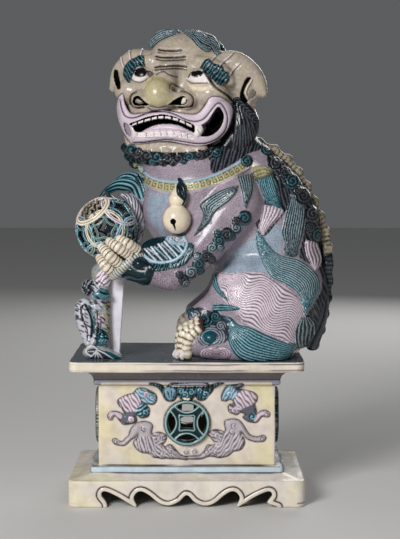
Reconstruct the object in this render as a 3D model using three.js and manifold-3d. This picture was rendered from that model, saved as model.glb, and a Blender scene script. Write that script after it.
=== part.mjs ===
// A porcelain foo dog, or Buddhist lion, on its own hollow plinth, in millimetres and +Z up.
// The lion sits facing -X with its head turned towards the front, -Y. Both forepaws hold an openwork ball,
// and a cub stands under it beside a plain prop. The plinth is pierced by a round coin on each side and
// stands on a scalloped apron, with five bats in low relief on its front.
// The lion's clay is a field of signed distances on a grid: forms are pressed into it one after another,
// and its skin is then taken as triangles and thinned out where it is smooth.

import * as THREE from "three";
import { triTable } from "three/addons/objects/MarchingCubes.js";
import { mergeVertices } from "three/addons/utils/BufferGeometryUtils.js";
import Module from "manifold-3d";

const wasm = await Module();
wasm.setup();

// Plinth
const PLINTH_HEIGHT = 141;
const BASE_WIDTH = 229;
const BASE_DEPTH = 153;
const SLAB_WIDTH = 227;
const SLAB_DEPTH = 151;
const DIE_INSET = 28;
const WALL = 6;
const SLAB_THICKNESS = 10.5;
const CAVETTO_HEIGHT = 8;
const FILLET_HEIGHT = 5.3;
const FILLET_REACH = 5;
const APRON_HEIGHT = 24;
const SLOPE_HEIGHT = 6;
const FOOT_STEP_HEIGHT = 6.4;
const FOOT_STEP_REACH = 7.5;
const CORNER_RADIUS = 9;
const COIN_RADIUS = 22.4;
const SIDE_COIN_RADIUS = 28.5;
const COIN_PROUD = 4;
const COIN_HEIGHT = 78;
const BAT_PROUD = 2.2;

// Lion and ball, measured from the middle of the plinth's top
const GAP = 0.3;
const BALL_RADIUS = 31;
const BALL_CENTRE = [-79, -28, 126];
const BALL_WALL = 3.4;
const HEAD_CENTRE = [-11, -15, 255];
const HEAD_YAW = -24;
const HEAD_PITCH = -5;
const HEAD_ROLL = 3;
const CELL = 2.5;
const LION_TRIANGLES = 5200;
const BALL_TRIANGLES = 1500;

const GLAZE = { cream: 0xe6dcb4, aubergine: 0x9c8f9e, teal: 0x1f6f73 };

const radians = THREE.MathUtils.degToRad;

function glazed(colour) {
  return new THREE.MeshStandardMaterial({ color: colour, roughness: 0.28, metalness: 0 });
}

// Solids

function solidOf(geometry) {
  const bare = geometry.index ? geometry.toNonIndexed() : geometry.clone();
  bare.deleteAttribute("normal");
  bare.deleteAttribute("uv");
  const merged = mergeVertices(bare, 1e-3);
  return new wasm.Manifold(
    new wasm.Mesh({
      numProp: 3,
      vertProperties: merged.attributes.position.array,
      triVerts: new Uint32Array(merged.index.array),
    }),
  );
}

function meshOf(name, solid, material) {
  const { vertProperties, triVerts } = solid.getMesh();
  const geometry = new THREE.BufferGeometry();
  geometry.setAttribute("position", new THREE.BufferAttribute(vertProperties, 3));
  geometry.setIndex(new THREE.BufferAttribute(triVerts, 1));
  geometry.computeVertexNormals();
  const mesh = new THREE.Mesh(geometry, material);
  mesh.name = name;
  return mesh;
}

function box(low, high) {
  const size = high.map((h, i) => h - low[i]);
  const middle = high.map((h, i) => (h + low[i]) / 2);
  return solidOf(new THREE.BoxGeometry(...size).translate(...middle));
}

// A flat outline pushed through a thickness, standing upright and facing -Y, with its face at y = front.
function upright(shape, front, thickness, curveSegments = 12) {
  const geometry = new THREE.ExtrudeGeometry(shape, { depth: thickness, bevelEnabled: false, curveSegments });
  return solidOf(geometry.rotateX(Math.PI / 2).translate(0, front + thickness, 0));
}

// Plinth

// One level of the plinth: a rectangle with round corners, as points going round it.
function levelPoints(width, depth, radius, z) {
  const points = [];
  const cornerSteps = 3;
  for (const [signX, signY, start] of [[1, 1, 0], [-1, 1, 90], [-1, -1, 180], [1, -1, 270]]) {
    for (let step = 0; step <= cornerSteps; step++) {
      const angle = radians(start + (90 * step) / cornerSteps);
      points.push([
        signX * (width / 2 - radius) + radius * Math.cos(angle),
        signY * (depth / 2 - radius) + radius * Math.sin(angle),
        z,
      ]);
    }
  }
  return points;
}

// Joins levels into one closed body with a flat top and bottom.
function stacked(levels) {
  const around = levels[0].length;
  const positions = levels.flat(2);
  const index = [];
  for (let level = 0; level + 1 < levels.length; level++) {
    for (let i = 0; i < around; i++) {
      const a = level * around + i;
      const b = level * around + ((i + 1) % around);
      index.push(a, b, b + around, a, b + around, a + around);
    }
  }
  const top = (levels.length - 1) * around;
  for (let i = 1; i + 1 < around; i++) {
    index.push(0, i + 1, i);
    index.push(top, top + i, top + i + 1);
  }
  const geometry = new THREE.BufferGeometry();
  geometry.setAttribute("position", new THREE.Float32BufferAttribute(positions, 3));
  geometry.setIndex(index);
  return solidOf(geometry);
}

// The mouldings from the ground up, as [reach beyond the die, height].
function mouldings() {
  const slab = DIE_INSET - (BASE_WIDTH - SLAB_WIDTH) / 2;
  const slabUnder = PLINTH_HEIGHT - SLAB_THICKNESS;
  const cavettoFoot = slabUnder - CAVETTO_HEIGHT;
  const slopeTop = APRON_HEIGHT + SLOPE_HEIGHT;
  const profile = [
    [DIE_INSET, 0],
    [DIE_INSET, APRON_HEIGHT - 1],
    [DIE_INSET - 1.5, APRON_HEIGHT],
    [FOOT_STEP_REACH, slopeTop],
    [FOOT_STEP_REACH, slopeTop + FOOT_STEP_HEIGHT - 2.5],
    [FOOT_STEP_REACH - 2.5, slopeTop + FOOT_STEP_HEIGHT],
    [0, slopeTop + FOOT_STEP_HEIGHT],
    [0, cavettoFoot - FILLET_HEIGHT],
    [FILLET_REACH, cavettoFoot - FILLET_HEIGHT],
    [FILLET_REACH, cavettoFoot],
  ];
  const cavettoSteps = 3;
  for (let step = 1; step <= cavettoSteps; step++) {
    const angle = radians((90 * step) / cavettoSteps);
    profile.push([
      FILLET_REACH + (slab - 4 - FILLET_REACH) * (1 - Math.cos(angle)),
      cavettoFoot + CAVETTO_HEIGHT * Math.sin(angle),
    ]);
  }
  profile.push([slab - 1, slabUnder], [slab, slabUnder + 2], [slab, PLINTH_HEIGHT - 2], [slab - 2, PLINTH_HEIGHT]);
  return profile;
}

// Half of the apron's lower edge, from a corner foot to the middle, as shares of the half width and heights.
const APRON_EDGE = [
  [-0.67, -1],
  [-0.68, 5],
  [-0.722, 12],
  [-0.69, 16.2],
  [-0.585, 11.4],
  [-0.48, 4.2],
  [-0.425, 1],
  [-0.45, 9],
  [-0.42, 14.8],
  [-0.375, 16],
  [-0.315, 12.4],
  [-0.23, 4.6],
  [-0.15, 2.2],
  [-0.07, 5.6],
  [0, 12.4],
];

// The space under one side's apron edge.
function apronSpace(width) {
  const half = APRON_EDGE.map(([share, z]) => new THREE.Vector2((share * width) / 2, z));
  const other = half.slice(0, -1).reverse().map((p) => new THREE.Vector2(-p.x, p.y));
  return new THREE.Shape([...half, ...other]);
}

// A coin's five openings: a square in the middle and a lens behind each concave side of the frame round it.
function coinOpenings(radius) {
  const square = 0.27 * radius;
  const ringInside = 0.83 * radius;
  const lensHalfAngle = radians(36);
  const lensDip = 0.46 * radius;
  const openings = [
    new THREE.Shape([[-1, -1], [1, -1], [1, 1], [-1, 1]].map(([u, v]) => new THREE.Vector2(u * square, v * square))),
  ];
  const steps = 6;
  for (let side = 0; side < 4; side++) {
    const points = [];
    for (let step = 0; step <= steps; step++) {
      const across = lensHalfAngle * ((2 * step) / steps - 1);
      points.push(new THREE.Vector2(ringInside * Math.cos(across), ringInside * Math.sin(across)));
    }
    const ends = ringInside * Math.cos(lensHalfAngle);
    for (let step = steps - 1; step > 0; step--) {
      const share = (2 * step) / steps - 1;
      const reach = lensDip + (ends - lensDip) * share ** 2;
      points.push(new THREE.Vector2(reach, ringInside * Math.sin(lensHalfAngle * share)));
    }
    const turn = (side * Math.PI) / 2;
    openings.push(new THREE.Shape(points.map((p) => p.rotateAround(new THREE.Vector2(), turn))));
  }
  return openings;
}

// The bats' outlines on the front, from the middle of the coin: the left half of the one above it,
// and the two on the left, which have their likes on the right.
const TOP_BAT = [
  [0, 21.5], [-4.2, 23.4], [-10, 24.6], [-13.5, 21.6], [-18.5, 21.8], [-22.7, 26.4], [-23.4, 31],
  [-27.5, 35.2], [-34.6, 36.4], [-34.6, 38.6], [-25.8, 39.5], [-21, 34.8], [-18, 36], [-15, 39.5], [0, 39.5],
];
const UPPER_BAT = [
  [-66.4, 21.6], [-60.4, 25.7], [-50.9, 27.6], [-48.5, 32.3], [-42.5, 33.5], [-34.1, 31.1], [-30, 25.1],
  [-32.9, 19.2], [-41.3, 18], [-43.7, 16.2], [-37.7, 13.2], [-37.1, 7.8], [-41.3, 5.4], [-47.3, 6],
  [-50.9, 3.6], [-52.1, -0.5], [-59.3, -1.5], [-66.4, 1.8], [-68.8, 6], [-73, 3], [-76.6, 5.4],
  [-74.8, 9], [-68.8, 9.8], [-62.8, 7.8], [-61, 12], [-65.2, 18],
];
const LOWER_BAT = [
  [-72.4, -16.8], [-68.8, -16.2], [-64, -19.2], [-58.1, -15.6], [-54.5, -9.6], [-50.9, -3.6], [-43.7, -0.5],
  [-36.5, -1.4], [-34.1, -6], [-35.3, -10.8], [-30.5, -11], [-27.5, -9.6], [-21, -13.2], [-22.1, -19.2],
  [-27.5, -21.6], [-18.6, -22.8], [-13.8, -24], [-9, -30], [-4, -33.6], [-4, -28], [0, -26], [0, -36.3],
  [-9, -36], [-18.6, -35.4], [-28.1, -34.8], [-36.5, -30], [-44.9, -28.7], [-50.9, -24], [-50.9, -18],
  [-56.9, -19.2], [-64, -22.8], [-70, -21.6],
];

function batShapes() {
  const shape = (outline, flip) => new THREE.Shape(outline.map(([u, v]) => new THREE.Vector2(flip * u, v)));
  const outlines = [TOP_BAT, UPPER_BAT, LOWER_BAT];
  return outlines.flatMap((outline) => [shape(outline, 1), shape(outline, -1)]);
}

function plinth() {
  const dieWidth = BASE_WIDTH - 2 * DIE_INSET;
  const dieDepth = BASE_DEPTH - 2 * DIE_INSET;
  let solid = stacked(
    mouldings().map(([reach, z]) =>
      levelPoints(dieWidth + 2 * reach, dieDepth + 2 * reach, 1.5 + (CORNER_RADIUS - 1.5) * (reach / DIE_INSET), z),
    ),
  );
  const upperRoom = [dieWidth / 2 - WALL, dieDepth / 2 - WALL];
  const lowerRoom = [BASE_WIDTH / 2 - WALL - 1, BASE_DEPTH / 2 - WALL - 1];
  solid = solid
    .subtract(box([-lowerRoom[0], -lowerRoom[1], -1], [...lowerRoom, APRON_HEIGHT - 4]))
    .subtract(box([-upperRoom[0], -upperRoom[1], -1], [...upperRoom, PLINTH_HEIGHT - SLAB_THICKNESS - 1]));

  for (let side = 0; side < 4; side++) {
    const turn = new THREE.Matrix4().makeRotationZ((side * Math.PI) / 2).toArray();
    const width = side % 2 ? BASE_DEPTH : BASE_WIDTH;
    const baseFront = (side % 2 ? BASE_WIDTH : BASE_DEPTH) / 2;
    const dieFront = (side % 2 ? dieWidth : dieDepth) / 2;
    const radius = side % 2 ? SIDE_COIN_RADIUS : COIN_RADIUS;
    const apron = upright(apronSpace(width), -baseFront - 1, WALL + 3);
    const disc = new THREE.Shape().absarc(0, 0, radius, 0, 2 * Math.PI);
    const coin = upright(disc, -dieFront - COIN_PROUD, COIN_PROUD + WALL / 2, 12).translate(0, 0, COIN_HEIGHT);
    solid = solid.subtract(apron.transform(turn)).add(coin.transform(turn));
    for (const opening of coinOpenings(radius)) {
      const hole = upright(opening, -dieFront - COIN_PROUD - 1, COIN_PROUD + WALL + 2);
      solid = solid.subtract(hole.translate(0, 0, COIN_HEIGHT).transform(turn));
    }
  }
  for (const shape of batShapes()) {
    solid = solid.add(upright(shape, -dieDepth / 2 - BAT_PROUD, BAT_PROUD + 1).translate(0, 0, COIN_HEIGHT));
  }
  return solid;
}

// Openwork ball

// Twelve interlocking rings, one about each corner of an icosahedron.
function openworkBall() {
  const ringAngle = radians(37);
  const bandAngle = radians(3.4);
  const golden = (1 + Math.sqrt(5)) / 2;
  const axes = [];
  for (const one of [-1, 1]) {
    for (const long of [-golden, golden]) {
      axes.push([0, one, long], [one, long, 0], [long, 0, one]);
    }
  }
  const profile = [
    [BALL_RADIUS - BALL_WALL, ringAngle + bandAngle],
    [BALL_RADIUS, ringAngle + bandAngle],
    [BALL_RADIUS, ringAngle - bandAngle],
    [BALL_RADIUS - BALL_WALL, ringAngle - bandAngle],
  ].map(([reach, angle]) => new THREE.Vector2(reach * Math.sin(angle), reach * Math.cos(angle)));
  const ring = solidOf(new THREE.LatheGeometry([...profile, profile[0]], 16));
  const up = new THREE.Vector3(0, 1, 0);
  const facing = new THREE.Quaternion().setFromUnitVectors(
    new THREE.Vector3(0, 1, golden).normalize(),
    new THREE.Vector3(0, -1, 0),
  );
  const turned = axes.map((axis) => {
    const toAxis = new THREE.Quaternion().setFromUnitVectors(up, new THREE.Vector3(...axis).normalize());
    return ring.transform(new THREE.Matrix4().makeRotationFromQuaternion(toAxis.premultiply(facing)).toArray());
  });
  const rings = turned.reduce((whole, next) => whole.add(next)).getMesh();
  const points = [];
  const faces = [];
  for (let i = 0; i < rings.vertProperties.length; i += 3) points.push([...rings.vertProperties.slice(i, i + 3)]);
  for (let i = 0; i < rings.triVerts.length; i += 3) faces.push([...rings.triVerts.slice(i, i + 3)]);
  return solidOf(new Thinner({ points, faces }).thin(BALL_TRIANGLES).geometry()).translate(...BALL_CENTRE);
}

// Forms that are pressed into the clay. Each gives a signed distance, negative inside, and the box it fills.

// An egg-shaped lump with these half sizes.
function lump(centre, radii) {
  return {
    low: centre.map((c, i) => c - radii[i]),
    high: centre.map((c, i) => c + radii[i]),
    at(x, y, z) {
      const u = (x - centre[0]) / radii[0];
      const v = (y - centre[1]) / radii[1];
      const w = (z - centre[2]) / radii[2];
      const far = Math.hypot(u, v, w);
      const steep = Math.hypot(u / radii[0], v / radii[1], w / radii[2]);
      return steep < 1e-9 ? -Math.min(...radii) : (far * (far - 1)) / steep;
    },
  };
}

// A limb of round section that runs through some points, with a radius at each.
function limb(points, radii) {
  const sizes = points.map((p, n) => (Array.isArray(radii) ? radii[n] : radii));
  return {
    low: [0, 1, 2].map((i) => Math.min(...points.map((p, n) => p[i] - sizes[n]))),
    high: [0, 1, 2].map((i) => Math.max(...points.map((p, n) => p[i] + sizes[n]))),
    at(x, y, z) {
      let nearest = Infinity;
      for (let n = 0; n + 1 < points.length; n++) {
        const [a, b] = [points[n], points[n + 1]];
        const [ux, uy, uz] = [b[0] - a[0], b[1] - a[1], b[2] - a[2]];
        const [px, py, pz] = [x - a[0], y - a[1], z - a[2]];
        const along = (px * ux + py * uy + pz * uz) / (ux * ux + uy * uy + uz * uz + 1e-9);
        const t = Math.min(1, Math.max(0, along));
        const off = Math.hypot(px - t * ux, py - t * uy, pz - t * uz);
        nearest = Math.min(nearest, off - sizes[n] - t * (sizes[n + 1] - sizes[n]));
      }
      return nearest;
    },
  };
}

// An upright block with softened edges.
function block(low, high, soft) {
  const middle = low.map((v, i) => (v + high[i]) / 2);
  const half = low.map((v, i) => (high[i] - v) / 2 - soft);
  return {
    low,
    high,
    at(x, y, z) {
      const q = [x, y, z].map((v, i) => Math.abs(v - middle[i]) - half[i]);
      const outside = Math.hypot(...q.map((v) => Math.max(v, 0)));
      return outside + Math.min(Math.max(...q), 0) - soft;
    },
  };
}

// The same form moved and turned by a matrix.
function placed(form, matrix) {
  const bounds = new THREE.Box3(new THREE.Vector3(...form.low), new THREE.Vector3(...form.high));
  bounds.applyMatrix4(matrix);
  const m = matrix.clone().invert().elements;
  return {
    low: bounds.min.toArray(),
    high: bounds.max.toArray(),
    at(x, y, z) {
      return form.at(
        m[0] * x + m[4] * y + m[8] * z + m[12],
        m[1] * x + m[5] * y + m[9] * z + m[13],
        m[2] * x + m[6] * y + m[10] * z + m[14],
      );
    },
  };
}

// The clay: signed distances on a grid.
class Clay {
  constructor(low, high, cell) {
    this.low = low;
    this.cell = cell;
    this.count = low.map((v, i) => Math.ceil((high[i] - v) / cell) + 1);
    this.values = new Float32Array(this.count[0] * this.count[1] * this.count[2]).fill(99);
  }

  index(i, j, k) {
    return (k * this.count[1] + j) * this.count[0] + i;
  }

  // Changes each value near a form to change(value, form's distance).
  press(form, margin, change) {
    const first = form.low.map((v, i) => Math.max(0, Math.floor((v - margin - this.low[i]) / this.cell)));
    const last = form.high.map((v, i) =>
      Math.min(this.count[i] - 1, Math.ceil((v + margin - this.low[i]) / this.cell)),
    );
    for (let k = first[2]; k <= last[2]; k++) {
      for (let j = first[1]; j <= last[1]; j++) {
        for (let i = first[0]; i <= last[0]; i++) {
          const n = this.index(i, j, k);
          const x = this.low[0] + i * this.cell;
          const y = this.low[1] + j * this.cell;
          const z = this.low[2] + k * this.cell;
          this.values[n] = change(this.values[n], form.at(x, y, z));
        }
      }
    }
    return this;
  }

  // Joins a form on, with a fillet about as wide as blend.
  add(form, blend = 3) {
    return this.press(form, blend + 4 * this.cell, (a, b) => {
      const h = Math.max(blend - Math.abs(a - b), 0) / blend;
      return Math.min(a, b) - (h * h * blend) / 4;
    });
  }

  // Takes a form away, with its edge softened.
  cut(form, blend = 1.5) {
    return this.press(form, blend + this.cell, (a, b) => {
      const h = Math.max(blend - Math.abs(a + b), 0) / blend;
      return Math.max(a, -b) + (h * h * blend) / 4;
    });
  }

  sample(x, y, z) {
    const at = [x, y, z].map((v, i) =>
      Math.min(this.count[i] - 1.001, Math.max(0, (v - this.low[i]) / this.cell)),
    );
    const [i, j, k] = at.map(Math.floor);
    const [u, v, w] = [at[0] - i, at[1] - j, at[2] - k];
    const mix = (a, b, t) => a + (b - a) * t;
    const row = (jj, kk) => mix(this.values[this.index(i, jj, kk)], this.values[this.index(i + 1, jj, kk)], u);
    return mix(mix(row(j, k), row(j + 1, k), v), mix(row(j, k + 1), row(j + 1, k + 1), v), w);
  }

  // The first point of the clay's skin on the way from a point outside it.
  skin(start, inward) {
    const step = this.cell / 2;
    const p = start.clone();
    for (let n = 0; n < 400; n++) {
      const d = this.sample(p.x, p.y, p.z);
      if (d <= 0.02) return p;
      p.addScaledVector(inward, Math.min(d, 40) > step ? Math.min(d * 0.6, 6) : step / 4);
    }
    return null;
  }

  // The way out of the clay at a point.
  outward({ x, y, z }) {
    const slope = [[1, 0, 0], [0, 1, 0], [0, 0, 1]].map(
      ([u, v, w]) => this.sample(x + 3 * u, y + 3 * v, z + 3 * w) - this.sample(x - 3 * u, y - 3 * v, z - 3 * w),
    );
    return new THREE.Vector3(...slope).normalize();
  }

  // The skin as triangles, by marching cubes.
  triangles() {
    const corners = [[0, 0, 0], [1, 0, 0], [1, 1, 0], [0, 1, 0], [0, 0, 1], [1, 0, 1], [1, 1, 1], [0, 1, 1]];
    const edges = [[0, 1], [1, 2], [2, 3], [3, 0], [4, 5], [5, 6], [6, 7], [7, 4], [0, 4], [1, 5], [2, 6], [3, 7]];
    const known = new Map();
    const points = [];
    const faces = [];
    const corner = new Array(8);
    for (let k = 0; k + 1 < this.count[2]; k++) {
      for (let j = 0; j + 1 < this.count[1]; j++) {
        for (let i = 0; i + 1 < this.count[0]; i++) {
          let inside = 0;
          corners.forEach(([u, v, w], c) => {
            corner[c] = this.index(i + u, j + v, k + w);
            if (this.values[corner[c]] < 0) inside |= 1 << c;
          });
          if (inside === 0 || inside === 255) continue;
          for (let n = inside * 16; triTable[n] !== -1; n += 3) {
            faces.push([2, 1, 0].map((m) => this.crossing(known, points, corner, edges[triTable[n + m]])));
          }
        }
      }
    }
    return { points, faces };
  }

  // The vertex where the skin crosses one edge of a cell, made once.
  crossing(known, points, corner, [from, to]) {
    const [a, b] = [corner[from], corner[to]].sort((p, q) => p - q);
    const key = a * 8 + [1, this.count[0], this.count[0] * this.count[1]].indexOf(b - a);
    if (!known.has(key)) {
      const share = this.values[a] / (this.values[a] - this.values[b]);
      const t = Math.min(0.88, Math.max(0.12, share));
      const place = (n) => [
        n % this.count[0],
        Math.floor(n / this.count[0]) % this.count[1],
        Math.floor(n / (this.count[0] * this.count[1])),
      ];
      const [p, q] = [place(a), place(b)];
      known.set(key, points.length);
      points.push(p.map((v, i) => this.low[i] + this.cell * (v + t * (q[i] - v))));
    }
    return known.get(key);
  }
}

// Thinning: edges are folded away, those that bend the skin least first, until few enough triangles are left.

class Thinner {
  constructor({ points, faces }) {
    this.points = points;
    this.faces = faces;
    this.alive = faces.map(() => true);
    this.left = faces.length;
    this.around = points.map(() => new Set());
    this.error = points.map(() => new Float64Array(10));
    this.stamp = new Uint32Array(points.length);
    this.queue = [];
    faces.forEach((face, f) => {
      const n = this.normal(face);
      const size = Math.hypot(...n) || 1e-12;
      const [a, b, c] = n.map((v) => v / size);
      const d = -(a * points[face[0]][0] + b * points[face[0]][1] + c * points[face[0]][2]);
      const plane = [a * a, a * b, a * c, a * d, b * b, b * c, b * d, c * c, c * d, d * d];
      for (const v of face) {
        this.around[v].add(f);
        plane.forEach((q, i) => (this.error[v][i] += q * size));
      }
    });
  }

  // Puts every edge that may be folded at less than this cost in the queue.
  refill(limit) {
    this.queue = [];
    this.faces.forEach((face, f) => {
      for (let i = 0; i < 3 && this.alive[f]; i++) {
        if (face[i] < face[(i + 1) % 3]) this.offer(face[i], face[(i + 1) % 3], limit);
      }
    });
  }

  normal([a, b, c], moved = -1, other = -1, place = null) {
    const [p, q, r] = [a, b, c].map((v) => (v === moved || v === other ? place : this.points[v]));
    const u = [q[0] - p[0], q[1] - p[1], q[2] - p[2]];
    const v = [r[0] - p[0], r[1] - p[1], r[2] - p[2]];
    return [u[1] * v[2] - u[2] * v[1], u[2] * v[0] - u[0] * v[2], u[0] * v[1] - u[1] * v[0]];
  }

  cost(q, [x, y, z]) {
    return (
      q[0] * x * x + 2 * q[1] * x * y + 2 * q[2] * x * z + 2 * q[3] * x +
      q[4] * y * y + 2 * q[5] * y * z + 2 * q[6] * y +
      q[7] * z * z + 2 * q[8] * z + q[9]
    );
  }

  // The best place for the vertex that an edge is folded into.
  best(a, b) {
    const q = this.error[a].map((v, i) => v + this.error[b][i]);
    const middle = this.points[a].map((v, i) => (v + this.points[b][i]) / 2);
    const pull = 0.02 * (q[0] + q[4] + q[7]) + 1e-6;
    const m = [q[0] + pull, q[1], q[2], q[4] + pull, q[5], q[7] + pull];
    const r = [pull * middle[0] - q[3], pull * middle[1] - q[6], pull * middle[2] - q[8]];
    const [ca, cb, cc] = [m[3] * m[5] - m[4] * m[4], m[2] * m[4] - m[1] * m[5], m[1] * m[4] - m[2] * m[3]];
    const whole = m[0] * ca + m[1] * cb + m[2] * cc;
    const place = [
      (ca * r[0] + cb * r[1] + cc * r[2]) / whole,
      (cb * r[0] + (m[0] * m[5] - m[2] * m[2]) * r[1] + (m[1] * m[2] - m[0] * m[4]) * r[2]) / whole,
      (cc * r[0] + (m[1] * m[2] - m[0] * m[4]) * r[1] + (m[0] * m[3] - m[1] * m[1]) * r[2]) / whole,
    ];
    const length = Math.hypot(...this.points[a].map((v, i) => v - this.points[b][i]));
    return { place, cost: Math.max(0, this.cost(q, place)) + 0.002 * length ** 3 };
  }

  // The queue is a heap of edges with the cheapest on top.
  offer(a, b, limit) {
    const { place, cost } = this.best(a, b);
    if (cost > limit) return;
    const entry = { a, b, place, cost, stamps: this.stamp[a] + this.stamp[b] };
    let at = this.queue.push(entry) - 1;
    while (at > 0) {
      const parent = (at - 1) >> 1;
      if (this.queue[parent].cost <= cost) break;
      this.queue[at] = this.queue[parent];
      at = parent;
    }
    this.queue[at] = entry;
  }

  take() {
    const first = this.queue[0];
    const last = this.queue.pop();
    if (this.queue.length) {
      let at = 0;
      for (;;) {
        let child = 2 * at + 1;
        if (child >= this.queue.length) break;
        if (child + 1 < this.queue.length && this.queue[child + 1].cost < this.queue[child].cost) child++;
        if (this.queue[child].cost >= last.cost) break;
        this.queue[at] = this.queue[child];
        at = child;
      }
      this.queue[at] = last;
    }
    return first;
  }

  neighbours(v) {
    const found = new Set();
    for (const f of this.around[v]) this.faces[f].forEach((w) => w !== v && found.add(w));
    return found;
  }

  // How near a triangle is to an even one, from 0 for a sliver.
  evenness(corners, doubleArea) {
    const sides = corners.map((p, i) => Math.hypot(...p.map((c, n) => c - corners[(i + 1) % 3][n])));
    return doubleArea / Math.max(...sides) ** 2;
  }

  // Whether an edge can be folded with no triangle turned over, made a sliver or doubled.
  allowed(a, b, place) {
    const beside = this.neighbours(b);
    let shared = 0;
    for (const v of this.neighbours(a)) if (beside.has(v)) shared++;
    if (shared !== 2) return false;
    for (const v of [a, b]) {
      for (const f of this.around[v]) {
        const face = this.faces[f];
        if (face.includes(a) && face.includes(b)) continue;
        const before = this.normal(face);
        const after = this.normal(face, a, b, place);
        const [was, is] = [Math.hypot(...before), Math.hypot(...after)];
        const turned = before[0] * after[0] + before[1] * after[1] + before[2] * after[2];
        const old = this.evenness(face.map((w) => this.points[w]), was);
        const now = this.evenness(face.map((w) => (w === a || w === b ? place : this.points[w])), is);
        if (old > 0.02 && turned < 0.3 * was * is) return false;
        if (now < 0.04 && now < 0.7 * old) return false;
      }
    }
    return true;
  }

  // Folds edges in rounds, each of which allows a greater cost than the last.
  thin(target) {
    for (let limit = 0.02; this.left > target && limit < 1e5; limit *= 2.5) {
      this.refill(limit);
      while (this.left > target && this.queue.length) {
        const { a, b, place, stamps } = this.take();
        const gone = !this.around[a].size || !this.around[b].size;
        if (gone || this.stamp[a] + this.stamp[b] !== stamps || !this.allowed(a, b, place)) continue;
        this.fold(a, b, place);
        for (const v of this.neighbours(a)) this.offer(Math.min(a, v), Math.max(a, v), limit);
      }
    }
    return this;
  }

  // Folds the edge from a to b into a, which moves to its new place.
  fold(a, b, place) {
    this.points[a] = place;
    this.error[b].forEach((v, i) => (this.error[a][i] += v));
    for (const f of this.around[b]) {
      const face = this.faces[f];
      if (face.includes(a)) {
        this.alive[f] = false;
        this.left--;
        face.forEach((v) => v !== b && this.around[v].delete(f));
      } else {
        face[face.indexOf(b)] = a;
        this.around[a].add(f);
      }
    }
    this.around[b].clear();
    this.stamp[b]++;
    this.stamp[a]++;
  }

  geometry() {
    const geometry = new THREE.BufferGeometry();
    geometry.setAttribute("position", new THREE.Float32BufferAttribute(this.points.flat(), 3));
    geometry.setIndex(this.faces.filter((_, f) => this.alive[f]).flat());
    return geometry;
  }
}

// Lion

const NEAR = -1;
const FAR = 1;

function torso(clay) {
  clay
    .add(lump([12.8, -5, 146], [57, 48, 52]))
    .add(lump([76, 0, 122], [57, 48, 66]), 16)
    .add(lump([84, 0, 58], [58, 54, 62]), 16)
    .add(limb([[20, -3, 212], [42, 0, 190], [68, 0, 160]], [38, 39, 42]), 14)
    .add(limb([[-5, -8, 202], [14, -5, 170]], [42, 48]), 10);
}

// Both hind legs, sitting: haunch, shin and foot with its toes.
function hindLegs(clay) {
  for (const side of [NEAR, FAR]) {
    const y = (v) => side * v;
    clay
      .add(lump([72, y(37), 50], [53, 33, 50]), 6)
      .add(lump([40, y(42), 18], [34, 26, 18]), 5)
      .add(lump([64, y(46), 16], [44, 27, 24]), 6)
      .add(limb([[26, y(34), 50], [8, y(36), 38]], [13, 10]), 4)
      .add(limb([[44, y(50), 14], [9, y(50), 17]], [15, 15.5]), 5);
    const toes = [[-1, 64], [-6, 56], [-7, 46.5], [-4, 38]];
    for (const [x, across] of toes) {
      clay
        .add(limb([[11, y(across), 31], [x + 3, y(across), 25], [x, y(across), 12]], [4.6, 5.6, 5.6]), 1)
        .add(limb([[x - 1, y(across), 9], [x - 4.5, y(across), 2]], [4, 2.6]), 0.8);
    }
  }
}

// The near foreleg: down from the shoulder to the elbow, then forward under the ball.
function nearForeleg(clay) {
  clay.add(
    limb(
      [[48, -40, 152], [18, -50, 112], [-14, -56, 82], [-36, -57, 86], [-52, -54, 90]],
      [27, 20, 16, 14, 13],
    ),
    7,
  );
  clay.add(lump([-59, -51, 94], [14, 13, 13]), 4);
  const toes = [
    [[-48, -61, 107], [-57, -65, 114], [-65, -62, 117.5]],
    [[-55, -63, 100], [-65, -68, 109], [-73, -64, 116]],
    [[-66, -62, 90], [-74, -66, 102], [-80, -61, 111]],
    [[-75, -55, 82], [-81, -57, 92], [-84, -53, 101]],
  ];
  for (const toe of toes) {
    clay.add(limb(toe, [5.2, 5.4, 4]), 0.8);
  }
}

// The far foreleg: forward over the back of the ball, with a flame of hair above it and a fringe behind.
function farForeleg(clay) {
  clay
    .add(limb([[-8, 26, 165], [-38, 26, 158], [-54, 18, 148], [-66, 6, 142]], [27, 19, 13, 10]), 6)
    .add(limb([[-62, 4, 144], [-74, -4, 151], [-80, -14, 157]], [7, 5, 4]), 2)
    .add(limb([[-64, 8, 136], [-76, 4, 128], [-84, -2, 118]], [7, 5, 4]), 2)
    .add(limb([[-45, 12, 152], [-50, 12, 166], [-62, 8, 174], [-76, 0, 170], [-87, -6, 160]], [5, 8, 8, 6, 2.4]), 2)
    .add(limb([[-42, 16, 168], [-52, 18, 178], [-66, 14, 178], [-78, 8, 170]], [7, 7, 6, 2.4]), 2)
    .add(lump([-52, 10, 190], [7, 8, 6]), 1.5);
  const fringe = [
    [-66, 2, 158], [-57, 1, 151], [-52, -3, 142], [-51, -9, 132], [-52, -16, 122], [-55, -24, 113],
  ];
  for (const at of fringe) {
    clay.add(lump(at, [6, 5, 6]), 1.2);
  }
}

const HEAD = new THREE.Matrix4().compose(
  new THREE.Vector3(...HEAD_CENTRE),
  new THREE.Quaternion().setFromEuler(
    new THREE.Euler(radians(HEAD_PITCH), radians(HEAD_ROLL), radians(HEAD_YAW), "ZXY"),
  ),
  new THREE.Vector3(1, 1, 1),
);

// A place on the head: how far to the viewer's right, forward and up from its centre.
const face = ([right, forward, up]) => [right, -forward, up];
const mirrored = ([right, forward, up]) => [-right, forward, up];

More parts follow.
